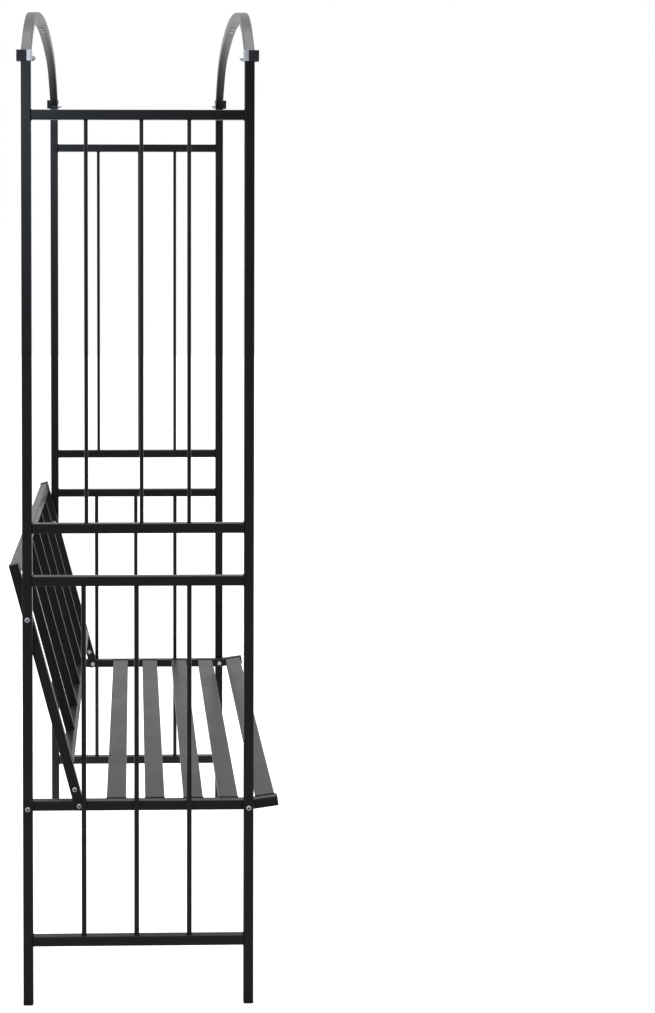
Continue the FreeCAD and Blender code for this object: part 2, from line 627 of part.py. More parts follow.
def bolt_master(name, length):
    """A button head below the origin, with a hexagon socket, and a plain shank above it."""
    shank = primitive("Part::Cylinder", f"{name}_shank", Radius="Dims.bolt / 2", Height=length)
    head = primitive("Part::Cone", f"{name}_head", Radius1="Dims.bolt_head_top / 2",
                     Radius2="Dims.bolt_head / 2", Height="Dims.bolt_head_high",
                     Placement__Base__z="-Dims.bolt_head_high")
    socket = primitive("Part::Prism", f"{name}_socket", Circumradius="Dims.bolt_socket / sqrt(3)",
                       Height="Dims.bolt_socket_deep", Placement__Base__z="-Dims.bolt_head_high")
    blank = boolean("Part::Fuse", f"{name}_blank", shank, head)
    return boolean("Part::Cut", name, blank, socket)


def nut_master():
    hexagon = primitive("Part::Prism", "nut_hexagon", Circumradius="Dims.nut_flats / sqrt(3)",
                        Height="Dims.nut_thick")
    hole = primitive("Part::Cylinder", "nut_hole", Radius="Dims.bolt / 2 + Dims.thread_gap",
                     Height="Dims.nut_thick")
    return boolean("Part::Cut", "nut_master", hexagon, hole)


def crown_screw_master():
    """A domed head below the origin, its shank above it."""
    shank = primitive("Part::Cylinder", "crown_screw_shank", Radius="Dims.crown_screw / 2",
                      Height="Dims.crown_screw_length")
    head = primitive("Part::Cone", "crown_screw_head", Radius1="Dims.crown_screw_head_top / 2",
                     Radius2="Dims.crown_screw_head / 2", Height="Dims.crown_screw_head_high",
                     Placement__Base__z="-Dims.crown_screw_head_high")
    return boolean("Part::Fuse", "crown_screw_master", shank, head)


def plug_master():
    """A square plug: its flange covers a tube's end below the origin, its insert goes up inside."""
    part = new_body("plug_master")
    flange = sketch_on(part, "XY_Plane", "Flange")
    rounded_rectangle(flange, "Dims.tube", "Dims.tube", "Dims.corner")
    pad(part, flange, "Dims.plug_flange", reverse=True)
    insert = sketch_on(part, "XY_Plane", "Insert")
    side = "Derived.bore - 2 * Dims.plug_gap"
    rounded_rectangle(insert, side, side, "Derived.sleeve_corner")
    pad(part, insert, "Derived.plug_insert")
    return part


crown_z = "Dims.height - Dims.tube / 2"
group("post_splice_sleeves", (sleeve_master(), at_posts("Dims.splice_z")))
elbow = elbow_master()
group("corner_elbows", (elbow, [(f"{sign} * Derived.post_x", f"{way} * Derived.post_fwd", "Derived.spring_z",
                                 Z_AXIS, "180" if sign == "1" else None)
                                for _, sign in SIDES for _, way in ENDS]))
group("crown_spigots", (spigot_master(), [("0", f"{way} * Derived.post_fwd", crown_z) for _, way in ENDS]))

clamp_z = "Derived.spring_z - Dims.clamp_centre_drop"
for label, master in (("clamp_shells", clamp_shell_master()), ("clamp_plates", clamp_plate_master())):
    as_made = [("-Derived.post_x", "Derived.post_fwd", clamp_z),
               ("Derived.post_x", "-Derived.post_fwd", clamp_z, Z_AXIS, "180")]
    other_hand = [("Derived.post_x", "Derived.post_fwd", clamp_z),
                  ("-Derived.post_x", "-Derived.post_fwd", clamp_z, Z_AXIS, "180")]
    group(label, (master, as_made), (mirrored(master), other_hand))

# Each bolt enters from outside the tube that it meets first; a nut closes it on the inside.
head_seat = "(Dims.tube / 2 + Dims.clamp_block - Dims.clamp_counterbore_deep)"
plate_face = "(Dims.tube / 2 + Dims.clamp_plate)"
clamp_bolt = bolt_master("clamp_bolt_master", f"{head_seat} + {plate_face} + Derived.nut_grip")
group("clamp_screws", (clamp_bolt, [
    (f"{sign} * Derived.post_x", f"{way} * (Derived.post_fwd + {head_seat})", "Derived.clamp_screw_z",
     X_AXIS, f"{way} * -90") for _, sign in SIDES for _, way in ENDS]))

post_bolt = bolt_master("post_bolt_master", "2 * Dims.tube + Derived.nut_grip")
bracket_bolt = bolt_master("bracket_bolt_master", "Dims.tube + Dims.bracket_thick + Derived.nut_grip")
back_line_fwd = "(Derived.back_rail_bolt * sin(Dims.recline) - Derived.post_fwd)"
POST_BOLTS = (("-Derived.post_fwd", "Dims.back_bolt_z"), ("-Derived.post_fwd", "Dims.seat_z"),
              ("Derived.post_fwd", "Dims.seat_z"))
BRACKET_BOLTS = (("Derived.back_seat_bolt_fwd", "Dims.seat_z"), (back_line_fwd, "Derived.bracket_bolt_z"))


def across(spots, x):
    """The same spots on both sides, each turned to point to the middle of the bench."""
    return [(f"{sign} * {x}", fwd, z, Y_AXIS, f"{sign} * -90") for _, sign in SIDES for fwd, z in spots]


group("bench_bolts", (post_bolt, across(POST_BOLTS, "Dims.width / 2")),
      (bracket_bolt, across(BRACKET_BOLTS, "(Dims.width / 2 - Dims.tube)")))
nut = nut_master()
group("nuts", (nut, across(POST_BOLTS, "Derived.bench_span / 2")),
      (nut, across(BRACKET_BOLTS, "(Derived.bench_span / 2 - Dims.bracket_thick)")),
      (nut, [(f"{sign} * Derived.post_x", f"{way} * (Derived.post_fwd - {plate_face})",
              "Derived.clamp_screw_z", X_AXIS, f"{way} * -90") for _, sign in SIDES for _, way in ENDS]))
group("crown_screws", (crown_screw_master(), [
    (f"{sign} * Dims.crown_screw_out", f"{way} * Derived.post_fwd",
     "Dims.height - Dims.tube - Dims.crown_screw_gap") for _, sign in SIDES for _, way in ENDS]))

seat_front = ("Derived.kink_fwd + Dims.seat_lip * cos(Dims.seat_lip_angle)",
              "Dims.seat_z + Dims.seat_lip * sin(Dims.seat_lip_angle)", "-90 - Dims.seat_lip_angle")
seat_rear = ("Dims.plug_flange - Derived.post_fwd - Dims.tube / 2", "Dims.seat_z", "90")
back_top = ("-Derived.post_fwd - Dims.back_top_reach * sin(Dims.recline)",
            "Dims.back_bolt_z + Dims.back_top_reach * cos(Dims.recline)", "180 - Dims.recline")
bench_ends = [(f"{sign} * Derived.bench_rail_x", fwd, z, X_AXIS, angle)
              for _, sign in SIDES for fwd, z, angle in (seat_front, seat_rear, back_top)]
group("tube_plugs", (plug_master(), at_posts("Dims.plug_flange") + bench_ends))


# ---------------------------------------------------------------- checks and files

doc.recompute()
for item in doc.Objects:
    if "Invalid" in item.State or "Error" in item.State:
        raise RuntimeError(f"{item.Name} did not build: {item.State}")
    if item.TypeId == "PartDesign::Pocket":
        before, after = item.BaseFeature.Shape.Volume, item.Shape.Volume
        if not 0 < after < before - LEAST_CUT:
            raise RuntimeError(f"{item.Name} in {item.getParent().Label} cut nothing")
    if item.TypeId == "Sketcher::SketchObject" and item.solve() != 0:
        raise RuntimeError(f"{item.Name} in {item.getParent().Label} has dimensions that don't agree")
for label, part in nodes.items():
    shape = part.Shape
    if shape.isNull() or not shape.isValid() or not shape.Solids:
        raise RuntimeError(f"{label} has no valid shape")

os.makedirs("parts", exist_ok=True)
for label, part in nodes.items():
    part.Shape.exportStep(f"parts/{label}.step")
print(len(nodes), "sub-parts written")
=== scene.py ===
"""Looks for a steel garden arch with a built-in bench, laid out as a Blender add-on."""

import json
import math
import random

import bmesh
import bpy
from bpy.props import FloatProperty, FloatVectorProperty, IntProperty, PointerProperty
from bpy.types import Operator, Panel, PropertyGroup
from mathutils import Matrix, Vector


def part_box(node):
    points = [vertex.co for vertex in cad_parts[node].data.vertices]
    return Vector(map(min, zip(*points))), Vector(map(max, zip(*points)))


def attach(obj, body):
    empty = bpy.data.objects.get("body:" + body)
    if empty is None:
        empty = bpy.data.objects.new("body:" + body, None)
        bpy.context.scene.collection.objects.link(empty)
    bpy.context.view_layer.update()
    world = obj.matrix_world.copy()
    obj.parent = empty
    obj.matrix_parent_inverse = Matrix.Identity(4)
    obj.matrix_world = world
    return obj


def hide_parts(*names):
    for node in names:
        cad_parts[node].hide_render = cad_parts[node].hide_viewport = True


bl_info = {
    "name": "Garden Arch Bench",
    "version": (1, 0, 0),
    "blender": (4, 5, 0),
    "location": "3D View > Sidebar > Garden Arch",
    "description": "Welds, fasteners, clamps, plugs, finishes and a studio for a steel garden arch",
    "category": "Object",
}

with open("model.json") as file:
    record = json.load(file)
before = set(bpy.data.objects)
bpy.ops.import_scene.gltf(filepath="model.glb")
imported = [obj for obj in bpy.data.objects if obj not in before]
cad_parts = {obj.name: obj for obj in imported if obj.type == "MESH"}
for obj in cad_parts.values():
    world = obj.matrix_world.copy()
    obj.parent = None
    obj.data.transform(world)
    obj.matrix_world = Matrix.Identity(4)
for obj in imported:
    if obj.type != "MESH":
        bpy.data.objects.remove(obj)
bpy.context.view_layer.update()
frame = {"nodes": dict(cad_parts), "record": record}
BODY = "root"
SIDES = (("left", -1), ("right", 1))
ENDS = ("rear", "front")
SLATS = [f"seat_slat_{count}" for count in range(1, 6)]
SPINDLES = [f"back_spindle_{count}" for count in range(1, 6)]
MM = 0.001
# Places closer than this count as one.
NEAR = 0.01 * MM


def length(name, description, default):
    return FloatProperty(name=name, description=description, default=default, min=0, unit="LENGTH",
                         precision=5)


def angle(name, description, default):
    return FloatProperty(name=name, description=description, default=math.radians(default), unit="ROTATION")


def colour(name, description, default):
    return FloatVectorProperty(name=name, description=description, default=default, subtype="COLOR",
                               min=0, max=1)


class ArchSizes(PropertyGroup):
    """Sizes of what is modelled here, in metres"""
    tube_corner: length("Tube corner", "Outer corner radius of the tubes", 1.8 * MM)
    tube_wall: length("Tube wall", "Thickness of the tubes' walls", 1 * MM)
    arch_rise: length("Arch rise", "Spring point to crown, on the tube's middle line", 133 * MM)
    arch_start: angle("Arch slope", "Slope of the arch's straight ends", 35)
    arch_stub: length("Arch straight end", "Length of the arch's straight ends", 45 * MM)
    arch_end_radius: length("Arch end bend", "Radius of the bend next to each straight end", 450 * MM)
    arch_steps: IntProperty(name="Arch steps", description="Steps along each bend", default=32, min=2)
    seam_chamfer: length("Crown seam", "Chamfer where two arch halves meet", 0.3 * MM)
    seat_rise: angle("Seat rise", "Rise of the front slat", 8)
    weld_bead: length("Weld bead", "Radius of a weld bead between tubes", 1.3 * MM)
    rod_weld_bead: length("Rod weld bead", "Radius of a weld bead round a rod", 0.9 * MM)
    weld_ripple: length("Weld ripple", "Spacing of the ripples along a bead", 2.2 * MM)
    slat_weld_bead: length("Slat weld bead", "Radius of a weld bead at the ends of the slats", 2.2 * MM)
    slat_weld_proud: length("Slat weld height", "How far those beads stand out of the slats", 1.6 * MM)
    weld_flush: length("Weld on flush faces", "How far a bead stands out of two flush faces", 0.7 * MM)
    bolt_shank: length("Bolt shank", "Diameter of the bolts", 6 * MM)
    bolt_head: length("Bolt head", "Diameter of the button heads", 10.5 * MM)
    bolt_head_high: length("Bolt head height", "Height of the button heads", 3.3 * MM)
    bolt_socket: length("Bolt socket", "Hexagon socket across flats", 4 * MM)
    bolt_socket_deep: length("Socket depth", "Depth of the hexagon socket", 2 * MM)
    bolt_gap: length("Bolt gap", "Bolt to the side of its hole", 0.25 * MM)
    counterbore_gap: length("Counterbore gap", "Bolt head to the side of its counterbore", 0.5 * MM)
    counterbore_lead: length("Counterbore lead", "Depth of the chamfer round a counterbore", 0.4 * MM)
    nut_flats: length("Nut", "Nut across flats", 10 * MM)
    nut_thick: length("Nut height", "Height of the nuts", 5 * MM)
    nut_thread_gap: length("Nut thread gap", "Bolt to the bore of its nut", 0.05 * MM)
    nut_lead: length("Nut lead", "Depth of the chamfer in a nut's bore", 0.6 * MM)
    thread_past_nut: length("Thread past nut", "Thread that shows past a nut", 2.5 * MM)
    thread_pitch: length("Thread pitch", "Pitch of the bolts' thread", 1 * MM)
    pan_head_high: length("Pan head height", "Height of the crown screws' heads", 2.4 * MM)
    cross_long: length("Cross recess length", "Length of the arms of a pan head's cross", 4.4 * MM)
    cross_wide: length("Cross recess width", "Width of the arms of a pan head's cross", 1.1 * MM)
    cross_deep: length("Cross recess depth", "Depth of a pan head's cross", 1.2 * MM)
    crown_screw_shank: length("Crown screw", "Diameter of the crown screws", 4.2 * MM)
    moulded_edge: length("Moulded edge", "Rounding of moulded edges", 0.6 * MM)
    pressed_edge: length("Pressed edge", "Rounding of pressed steel edges", 0.3 * MM)
    plate_fold: length("Plate fold", "Outer radius of the clamp plate's fold", 2.4 * MM)
    clamp_grooves: IntProperty(name="Clamp grooves", description="Grooves round each moulded half", default=4,
                               min=0)
    groove_width: length("Groove width", "Width of those grooves", 1.2 * MM)
    groove_depth: length("Groove depth", "Depth of those grooves", 0.5 * MM)
    plug_flange: length("Plug flange", "Thickness of the plugs outside the tube", 2 * MM)
    plug_gap: length("Plug gap", "Plug to the inside of its tube, each side", 0.2 * MM)
    plug_insert: length("Plug insert", "Length of the plugs inside the tube", 4.4 * MM)
    plug_round: length("Plug edge", "Rounding of the plugs' outer edge", 1.1 * MM)


class ArchColours(PropertyGroup):
    """Colours of the finishes and the studio"""
    powder_black: colour("Powder coat", "Black powder coat on the tubes", (0.007, 0.007, 0.0075))
    powder_worn: colour("Powder coat, thin", "Powder coat where it is thinner", (0.011, 0.011, 0.012))
    plastic_black: colour("Moulded plastic", "Plugs and clamp halves", (0.012, 0.0125, 0.014))
    zinc: colour("Zinc plate", "Bolts, nuts and clamp plates", (0.75, 0.76, 0.77))
    # Painted shade: the dark colour given to the faces inside the bolts' hexagon sockets.
    socket_painted_shade: colour("Socket painted shade", "Painted shade in the bolts' sockets", (0.03, 0.03, 0.03))
    dust: colour("Dust", "Dust on powder coat", (0.16, 0.16, 0.155))
    plastic_dust: colour("Dust on plastic", "Dust on moulded plastic", (0.12, 0.12, 0.115))
    floor: colour("Floor", "Studio floor", (0.86, 0.86, 0.86))


def sizes():
    return bpy.context.scene.arch_sizes


def colours():
    return bpy.context.scene.arch_colours


# ------------------------------------------------------------------ places

def middle(node):
    low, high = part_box(node)
    return (low + high) / 2


def span(node):
    low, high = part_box(node)
    return high - low


def islands(node):
    """The separate solids of a CAD node, each as its lowest and highest corner."""
    shape = bmesh.new()
    shape.from_mesh(frame["nodes"][node].data)
    bmesh.ops.remove_doubles(shape, verts=shape.verts, dist=0.001 * MM)
    boxes, waiting = [], set(shape.verts)
    while waiting:
        edge, reached = [waiting.pop()], []
        while edge:
            vertex = edge.pop()
            reached.append(vertex.co.copy())
            for near in (link.other_vert(vertex) for link in vertex.link_edges):
                if near in waiting:
                    waiting.remove(near)
                    edge.append(near)
        boxes.append((Vector(map(min, zip(*reached))), Vector(map(max, zip(*reached)))))
    shape.free()
    return sorted(boxes, key=lambda box: tuple(box[0]))


def end_centre(node, direction):
    """Middle of the end face that a node has furthest along a direction."""
    points = [vertex.co for vertex in frame["nodes"][node].data.vertices]
    reach = max(point.dot(direction) for point in points)
    face = [point for point in points if point.dot(direction) > reach - 0.05 * MM]
    low, high = Vector(map(min, zip(*face))), Vector(map(max, zip(*face)))
    return (low + high) / 2


TUBE = span("left_top_rail").x
PANEL = middle("left_top_rail").y
BACK_UP = (middle("back_top_rail") - middle("back_lower_rail")).normalized()
X, Y, Z = Vector((1, 0, 0)), Vector((0, 1, 0)), Vector((0, 0, 1))


def pointing(place, direction, turn=0.0):
    """Puts a piece's +Z along a direction at a place, turned so far about it."""
    return (Matrix.Translation(place) @ direction.to_track_quat("Z", "Y").to_matrix().to_4x4()
            @ Matrix.Rotation(turn, 4, "Z"))


def facing(place, x_axis, y_axis):
    """Puts a piece's +X and +Y along two directions at a place."""
    turn = Matrix((x_axis, y_axis, x_axis.cross(y_axis))).transposed()
    return Matrix.Translation(place) @ turn.to_4x4()


def mirrored(across, along):
    """Mirrors a place about the middle of the arch, the middle of the panels, both or neither."""
    flip = Matrix.Diagonal((across, along, 1, 1))
    return Matrix.Translation((0, PANEL, 0)) @ flip @ Matrix.Translation((0, -PANEL, 0))


# ------------------------------------------------------------------ modelling helpers

def clear_selection():
    if bpy.context.object and bpy.context.object.mode != "OBJECT":
        bpy.ops.object.mode_set(mode="OBJECT")
    bpy.ops.object.select_all(action="DESELECT")


def only(piece):
    clear_selection()
    piece.select_set(True)
    bpy.context.view_layer.objects.active = piece


def primitive(name, kind, **options):
    clear_selection()
    getattr(bpy.ops.mesh, f"primitive_{kind}_add")(**options)
    bpy.ops.object.transform_apply(location=True, rotation=True, scale=True)
    piece = bpy.context.object
    piece.name = piece.data.name = name
    return piece


def block(name, low, high):
    """A box between two corners."""
    low, high = Vector(low), Vector(high)
    piece = primitive(name, "cube", size=1)
    edit(piece)
    bpy.ops.transform.resize(value=high - low)
    bpy.ops.transform.translate(value=(low + high) / 2)
    bpy.ops.object.mode_set(mode="OBJECT")
    return piece


def edit(piece, select=True):
    only(piece)
    bpy.ops.object.mode_set(mode="EDIT")
    bpy.ops.mesh.select_mode(type="VERT")
    bpy.ops.mesh.select_all(action="SELECT" if select else "DESELECT")


def pick(piece, faces=None, edges=None):
    """Selects the faces or edges that a test allows, and stays in edit mode."""
    edit(piece, select=False)
    bpy.ops.mesh.select_mode(type="FACE" if faces else "EDGE")
    shape = bmesh.from_edit_mesh(piece.data)
    for part in shape.faces if faces else shape.edges:
        part.select_set((faces or edges)(part))
    shape.select_flush_mode()
    bmesh.update_edit_mesh(piece.data)


def apply_modifiers(piece):
    only(piece)
    for modifier in list(piece.modifiers):
        bpy.ops.object.modifier_apply(modifier=modifier.name)


def boolean(piece, tool, operation):
    modifier = piece.modifiers.new("Boolean", "BOOLEAN")
    modifier.operation, modifier.solver, modifier.object = operation, "EXACT", tool
    apply_modifiers(piece)
    bpy.data.objects.remove(tool)


def bevel(piece, width, segments=3, limit=35):
    modifier = piece.modifiers.new("Bevel", "BEVEL")
    modifier.width, modifier.segments = width, segments
    modifier.limit_method, modifier.angle_limit = "ANGLE", math.radians(limit)
    apply_modifiers(piece)


def smooth(piece, limit=40):
    only(piece)
    bpy.ops.object.shade_smooth_by_angle(angle=math.radians(limit))
    apply_modifiers(piece)


def face_outwards(piece):
    edit(piece)
    bpy.ops.mesh.remove_doubles(threshold=0.002 * MM)
    bpy.ops.mesh.normals_make_consistent(inside=False)
    bpy.ops.object.mode_set(mode="OBJECT")


def lathe(name, profile, steps=48):
    """Turns a profile of (radius, height) points round Z."""
    piece = primitive(name, "plane", size=MM)
    edit(piece)
    bpy.ops.mesh.merge(type="CENTER")
    bpy.ops.transform.translate(value=(profile[0][0], 0, profile[0][1]))
    for (r0, z0), (r1, z1) in zip(profile, profile[1:]):
        bpy.ops.mesh.extrude_region_move(TRANSFORM_OT_translate={"value": (r1 - r0, 0, z1 - z0)})
    bpy.ops.mesh.select_all(action="SELECT")
    bpy.ops.mesh.spin(steps=steps, angle=2 * math.pi, center=(0, 0, 0), axis=(0, 0, 1))
    face_outwards(piece)
    return piece


def hexagon_bar(name, across_flats, low, high):
    return primitive(name, "cylinder", vertices=6, radius=across_flats / math.sqrt(3), depth=high - low,
                     location=(0, 0, (low + high) / 2))


def stamp(name, *batches):
    """Joins copies of masters, each at its spots, into one piece and removes the masters."""
    copies = []
    for master, spots in batches:
        for spot in spots:
            copy = master.copy()
            copy.data = master.data.copy()
            bpy.context.scene.collection.objects.link(copy)
            copy.data.transform(spot)
            if spot.determinant() < 0:
                copy.data.flip_normals()
            copies.append(copy)
        bpy.data.objects.remove(master)
    clear_selection()
    for copy in copies:
        copy.select_set(True)
    bpy.context.view_layer.objects.active = copies[0]
    if len(copies) > 1:
        bpy.ops.object.join()
    joined = bpy.context.object
    joined.name = joined.data.name = name
    return joined


def finish_piece(piece, material, slot, *replaced):
    """Weights a finished piece's normals, gives it its finish, and hides what it replaces."""
    weight = piece.modifiers.new("Weighted Normal", "WEIGHTED_NORMAL")
    weight.keep_sharp = True
    apply_modifiers(piece)
    piece.data.materials.clear()
    piece.data.materials.append(finish(material))
    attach(piece, BODY)
    if replaced:
        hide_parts(*replaced)


# ------------------------------------------------------------------ shader groups

def new_group(name, inputs, outputs):
    """A shader group with float inputs given as (name, default) and outputs as (name, socket type)."""
    group = bpy.data.node_groups.new(name, "ShaderNodeTree")
    for socket, default in inputs:
        made = group.interface.new_socket(name=socket, in_out="INPUT", socket_type="NodeSocketFloat")
        made.default_value = default
    for socket, kind in outputs:
        group.interface.new_socket(name=socket, in_out="OUTPUT", socket_type=kind)
    entry = group.nodes.new("NodeGroupInput")
    leave = group.nodes.new("NodeGroupOutput")
    return group, entry, leave


def node(tree, kind, **settings):
    made = tree.nodes.new(kind)
    for key, value in settings.items():
        setattr(made, key, value)
    return made


def math_node(tree, operation, first, second):
    made = node(tree, "ShaderNodeMath", operation=operation)
    for socket, value in zip(made.inputs, (first, second)):
        if isinstance(value, (int, float)):
            socket.default_value = value
        else:
            tree.links.new(value, socket)
    return made.outputs[0]


def noise(tree, coordinates, scale, detail=2.0, roughness=0.5):
    made = node(tree, "ShaderNodeTexNoise")
    made.inputs["Detail"].default_value = detail
    made.inputs["Roughness"].default_value = roughness
    if isinstance(scale, (int, float)):
        made.inputs["Scale"].default_value = scale
    else:
        tree.links.new(scale, made.inputs["Scale"])
    tree.links.new(coordinates, made.inputs["Vector"])
    return made.outputs["Fac"]


def orange_peel_group():
    """The gentle ripple of cured powder coat: Height for a bump, Mottle for colour and gloss."""
    group, entry, leave = new_group("Orange peel",
                                    [("Peel scale", 700), ("Grit scale", 2600), ("Grit", 0.25)],
                                    [("Height", "NodeSocketFloat"), ("Mottle", "NodeSocketFloat")])
    place = node(group, "ShaderNodeTexCoord").outputs["Object"]
    peel = noise(group, place, entry.outputs["Peel scale"], detail=1.0)
    grit = noise(group, place, entry.outputs["Grit scale"], detail=2.0, roughness=0.6)
    grit = math_node(group, "MULTIPLY", grit, entry.outputs["Grit"])
    group.links.new(math_node(group, "ADD", peel, grit), leave.inputs["Height"])
    group.links.new(noise(group, place, 9.0, detail=3.0), leave.inputs["Mottle"])
    return group


def settled_dust_group():
    """A mask for dust: strongest on faces that look up, broken by noise."""
    group, entry, leave = new_group("Settled dust", [("Amount", 0.3), ("Patch scale", 60)],
                                    [("Mask", "NodeSocketFloat")])
    place = node(group, "ShaderNodeTexCoord").outputs["Object"]
    facing = node(group, "ShaderNodeSeparateXYZ")
    group.links.new(node(group, "ShaderNodeNewGeometry").outputs["Normal"], facing.inputs[0])
    up = math_node(group, "MAXIMUM", facing.outputs["Z"], 0.0)
    up = math_node(group, "POWER", up, 3.0)
    patches = noise(group, place, entry.outputs["Patch scale"], detail=5.0, roughness=0.6)
    speckle = noise(group, place, 1500.0, detail=1.0)
    mask = math_node(group, "MULTIPLY", math_node(group, "MULTIPLY", up, patches), speckle)
    group.links.new(math_node(group, "MULTIPLY", mask, entry.outputs["Amount"]), leave.inputs["Mask"])
    return group


def shader_group(name, build):
    return bpy.data.node_groups.get(name) or build()


def place_group(tree, group, **values):
    made = node(tree, "ShaderNodeGroup", node_tree=group)
    for key, value in values.items():
        made.inputs[key.replace("_", " ").capitalize()].default_value = value
    return made


# ------------------------------------------------------------------ materials

def new_material(name):
    material = bpy.data.materials.new(name)
    material.use_nodes = True
    tree = material.node_tree
    return material, tree, tree.nodes["Principled BSDF"]


def blend_colours(tree, first, second, mask):
    mix = node(tree, "ShaderNodeMix", data_type="RGBA")
    mix.inputs["A"].default_value = (*first, 1)
    mix.inputs["B"].default_value = (*second, 1)
    tree.links.new(mask, mix.inputs["Factor"])
    return mix.outputs["Result"]


# Most of a noise's values lie between these.
NOISE_LOW, NOISE_HIGH = 0.3, 0.7


def map_range(tree, value, low, high):
    """Spreads the middle of a noise over a range."""
    made = node(tree, "ShaderNodeMapRange")
    made.inputs["From Min"].default_value = NOISE_LOW
    made.inputs["From Max"].default_value = NOISE_HIGH
    made.inputs["To Min"].default_value = low
    made.inputs["To Max"].default_value = high
    tree.links.new(value, made.inputs["Value"])
    return made.outputs["Result"]


def bump(tree, height, distance, strength=1.0):
    made = node(tree, "ShaderNodeBump")
    made.inputs["Strength"].default_value = strength
    made.inputs["Distance"].default_value = distance
    tree.links.new(height, made.inputs["Height"])
    return made.outputs["Normal"]


def powder_coat():
    """Satin black powder coat with orange peel and a breath of dust on top faces."""
    material, tree, shader = new_material("powder_coat_black")
    peel = place_group(tree, shader_group("Orange peel", orange_peel_group), Peel_scale=650.0, Grit=0.2)
    dust = place_group(tree, shader_group("Settled dust", settled_dust_group), Amount=0.12)
    coat = blend_colours(tree, colours().powder_black, colours().powder_worn, peel.outputs["Mottle"])
    dusty = node(tree, "ShaderNodeMix", data_type="RGBA")
    dusty.inputs["B"].default_value = (*colours().dust, 1)
    tree.links.new(coat, dusty.inputs["A"])
    tree.links.new(dust.outputs["Mask"], dusty.inputs["Factor"])
    tree.links.new(dusty.outputs["Result"], shader.inputs["Base Color"])
    gloss = map_range(tree, peel.outputs["Mottle"], 0.29, 0.36)
    tree.links.new(math_node(tree, "ADD", gloss, dust.outputs["Mask"]), shader.inputs["Roughness"])
    tree.links.new(bump(tree, peel.outputs["Height"], 0.02 * MM, strength=0.6), shader.inputs["Normal"])
    shader.inputs["Specular IOR Level"].default_value = 0.3
    return material


def weld_coat():
    """The same powder coat over a weld bead: rougher, and much duller."""
    material, tree, shader = new_material("powder_coat_on_weld")
    peel = place_group(tree, shader_group("Orange peel", orange_peel_group), Peel_scale=1100.0, Grit=0.5)
    coat = blend_colours(tree, colours().powder_black, colours().powder_worn, peel.outputs["Mottle"])
    tree.links.new(coat, shader.inputs["Base Color"])
    tree.links.new(map_range(tree, peel.outputs["Mottle"], 0.6, 0.72), shader.inputs["Roughness"])
    tree.links.new(bump(tree, peel.outputs["Height"], 0.05 * MM, strength=0.8), shader.inputs["Normal"])
    shader.inputs["Specular IOR Level"].default_value = 0.1
    return material


def moulded_plastic():
    """Black moulded plastic with a fine spark-eroded grain."""
    material, tree, shader = new_material("moulded_plastic_black")
    peel = place_group(tree, shader_group("Orange peel", orange_peel_group), Peel_scale=2400.0,
                       Grit_scale=5200.0, Grit=0.6)
    dust = place_group(tree, shader_group("Settled dust", settled_dust_group), Amount=0.1)
    dusty = blend_colours(tree, colours().plastic_black, colours().plastic_dust, dust.outputs["Mask"])
    tree.links.new(dusty, shader.inputs["Base Color"])
    tree.links.new(map_range(tree, peel.outputs["Mottle"], 0.46, 0.56), shader.inputs["Roughness"])
    tree.links.new(bump(tree, peel.outputs["Height"], 0.03 * MM, strength=0.7), shader.inputs["Normal"])
    return material


DULL_ZINC = 0.78


def zinc_plate():
    """Bright zinc on steel, with faint rolling lines, a mottled gloss and painted shade in the sockets."""
    material, tree, shader = new_material("zinc_plate_bright")
    place = node(tree, "ShaderNodeTexCoord").outputs["Object"]
    stretch = node(tree, "ShaderNodeMapping")
    stretch.inputs["Scale"].default_value = (1, 1, 14)
    tree.links.new(place, stretch.inputs["Vector"])
    lines = noise(tree, stretch.outputs["Vector"], 220.0, detail=4.0, roughness=0.7)
    mottle = noise(tree, place, 260.0, detail=3.0)
    zinc = colours().zinc
    dull = tuple(DULL_ZINC * part for part in zinc)
    plated = node(tree, "ShaderNodeMix", data_type="RGBA")
    # Painted shade: faces marked as inside a socket take a dark colour in place of the zinc.
    plated.inputs["B"].default_value = (*colours().socket_painted_shade, 1)
    tree.links.new(blend_colours(tree, dull, zinc, mottle), plated.inputs["A"])
    tree.links.new(node(tree, "ShaderNodeAttribute", attribute_name="recess").outputs["Fac"],
                   plated.inputs["Factor"])
    tree.links.new(plated.outputs["Result"], shader.inputs["Base Color"])
    tree.links.new(map_range(tree, lines, 0.4, 0.52), shader.inputs["Roughness"])
    tree.links.new(bump(tree, lines, 0.01 * MM, strength=0.5), shader.inputs["Normal"])
    shader.inputs["Metallic"].default_value = 1.0
    return material


FINISHES = {"black_powder_coat": powder_coat, "black_plastic": moulded_plastic, "zinc_steel": zinc_plate,
            "weld": weld_coat}


def finish(name):
    """The material of that name, built once."""
    made = bpy.data.materials.get(f"finish_{name}")
    if made is None:
        made = FINISHES[name]()
        made.name = f"finish_{name}"
    return made


class ARCH_OT_finishes(Operator):
    """Give every node of the frame its finish"""
    bl_idname = "garden_arch.finishes"
    bl_label = "Finishes"

    def execute(self, context):
        for part in frame["record"]["subparts"]:
            piece = frame["nodes"][part["node"]]
            piece.data.materials.clear()
            piece.data.materials.append(finish(part["material_slot"]))
        return {"FINISHED"}


# ------------------------------------------------------------------ arches

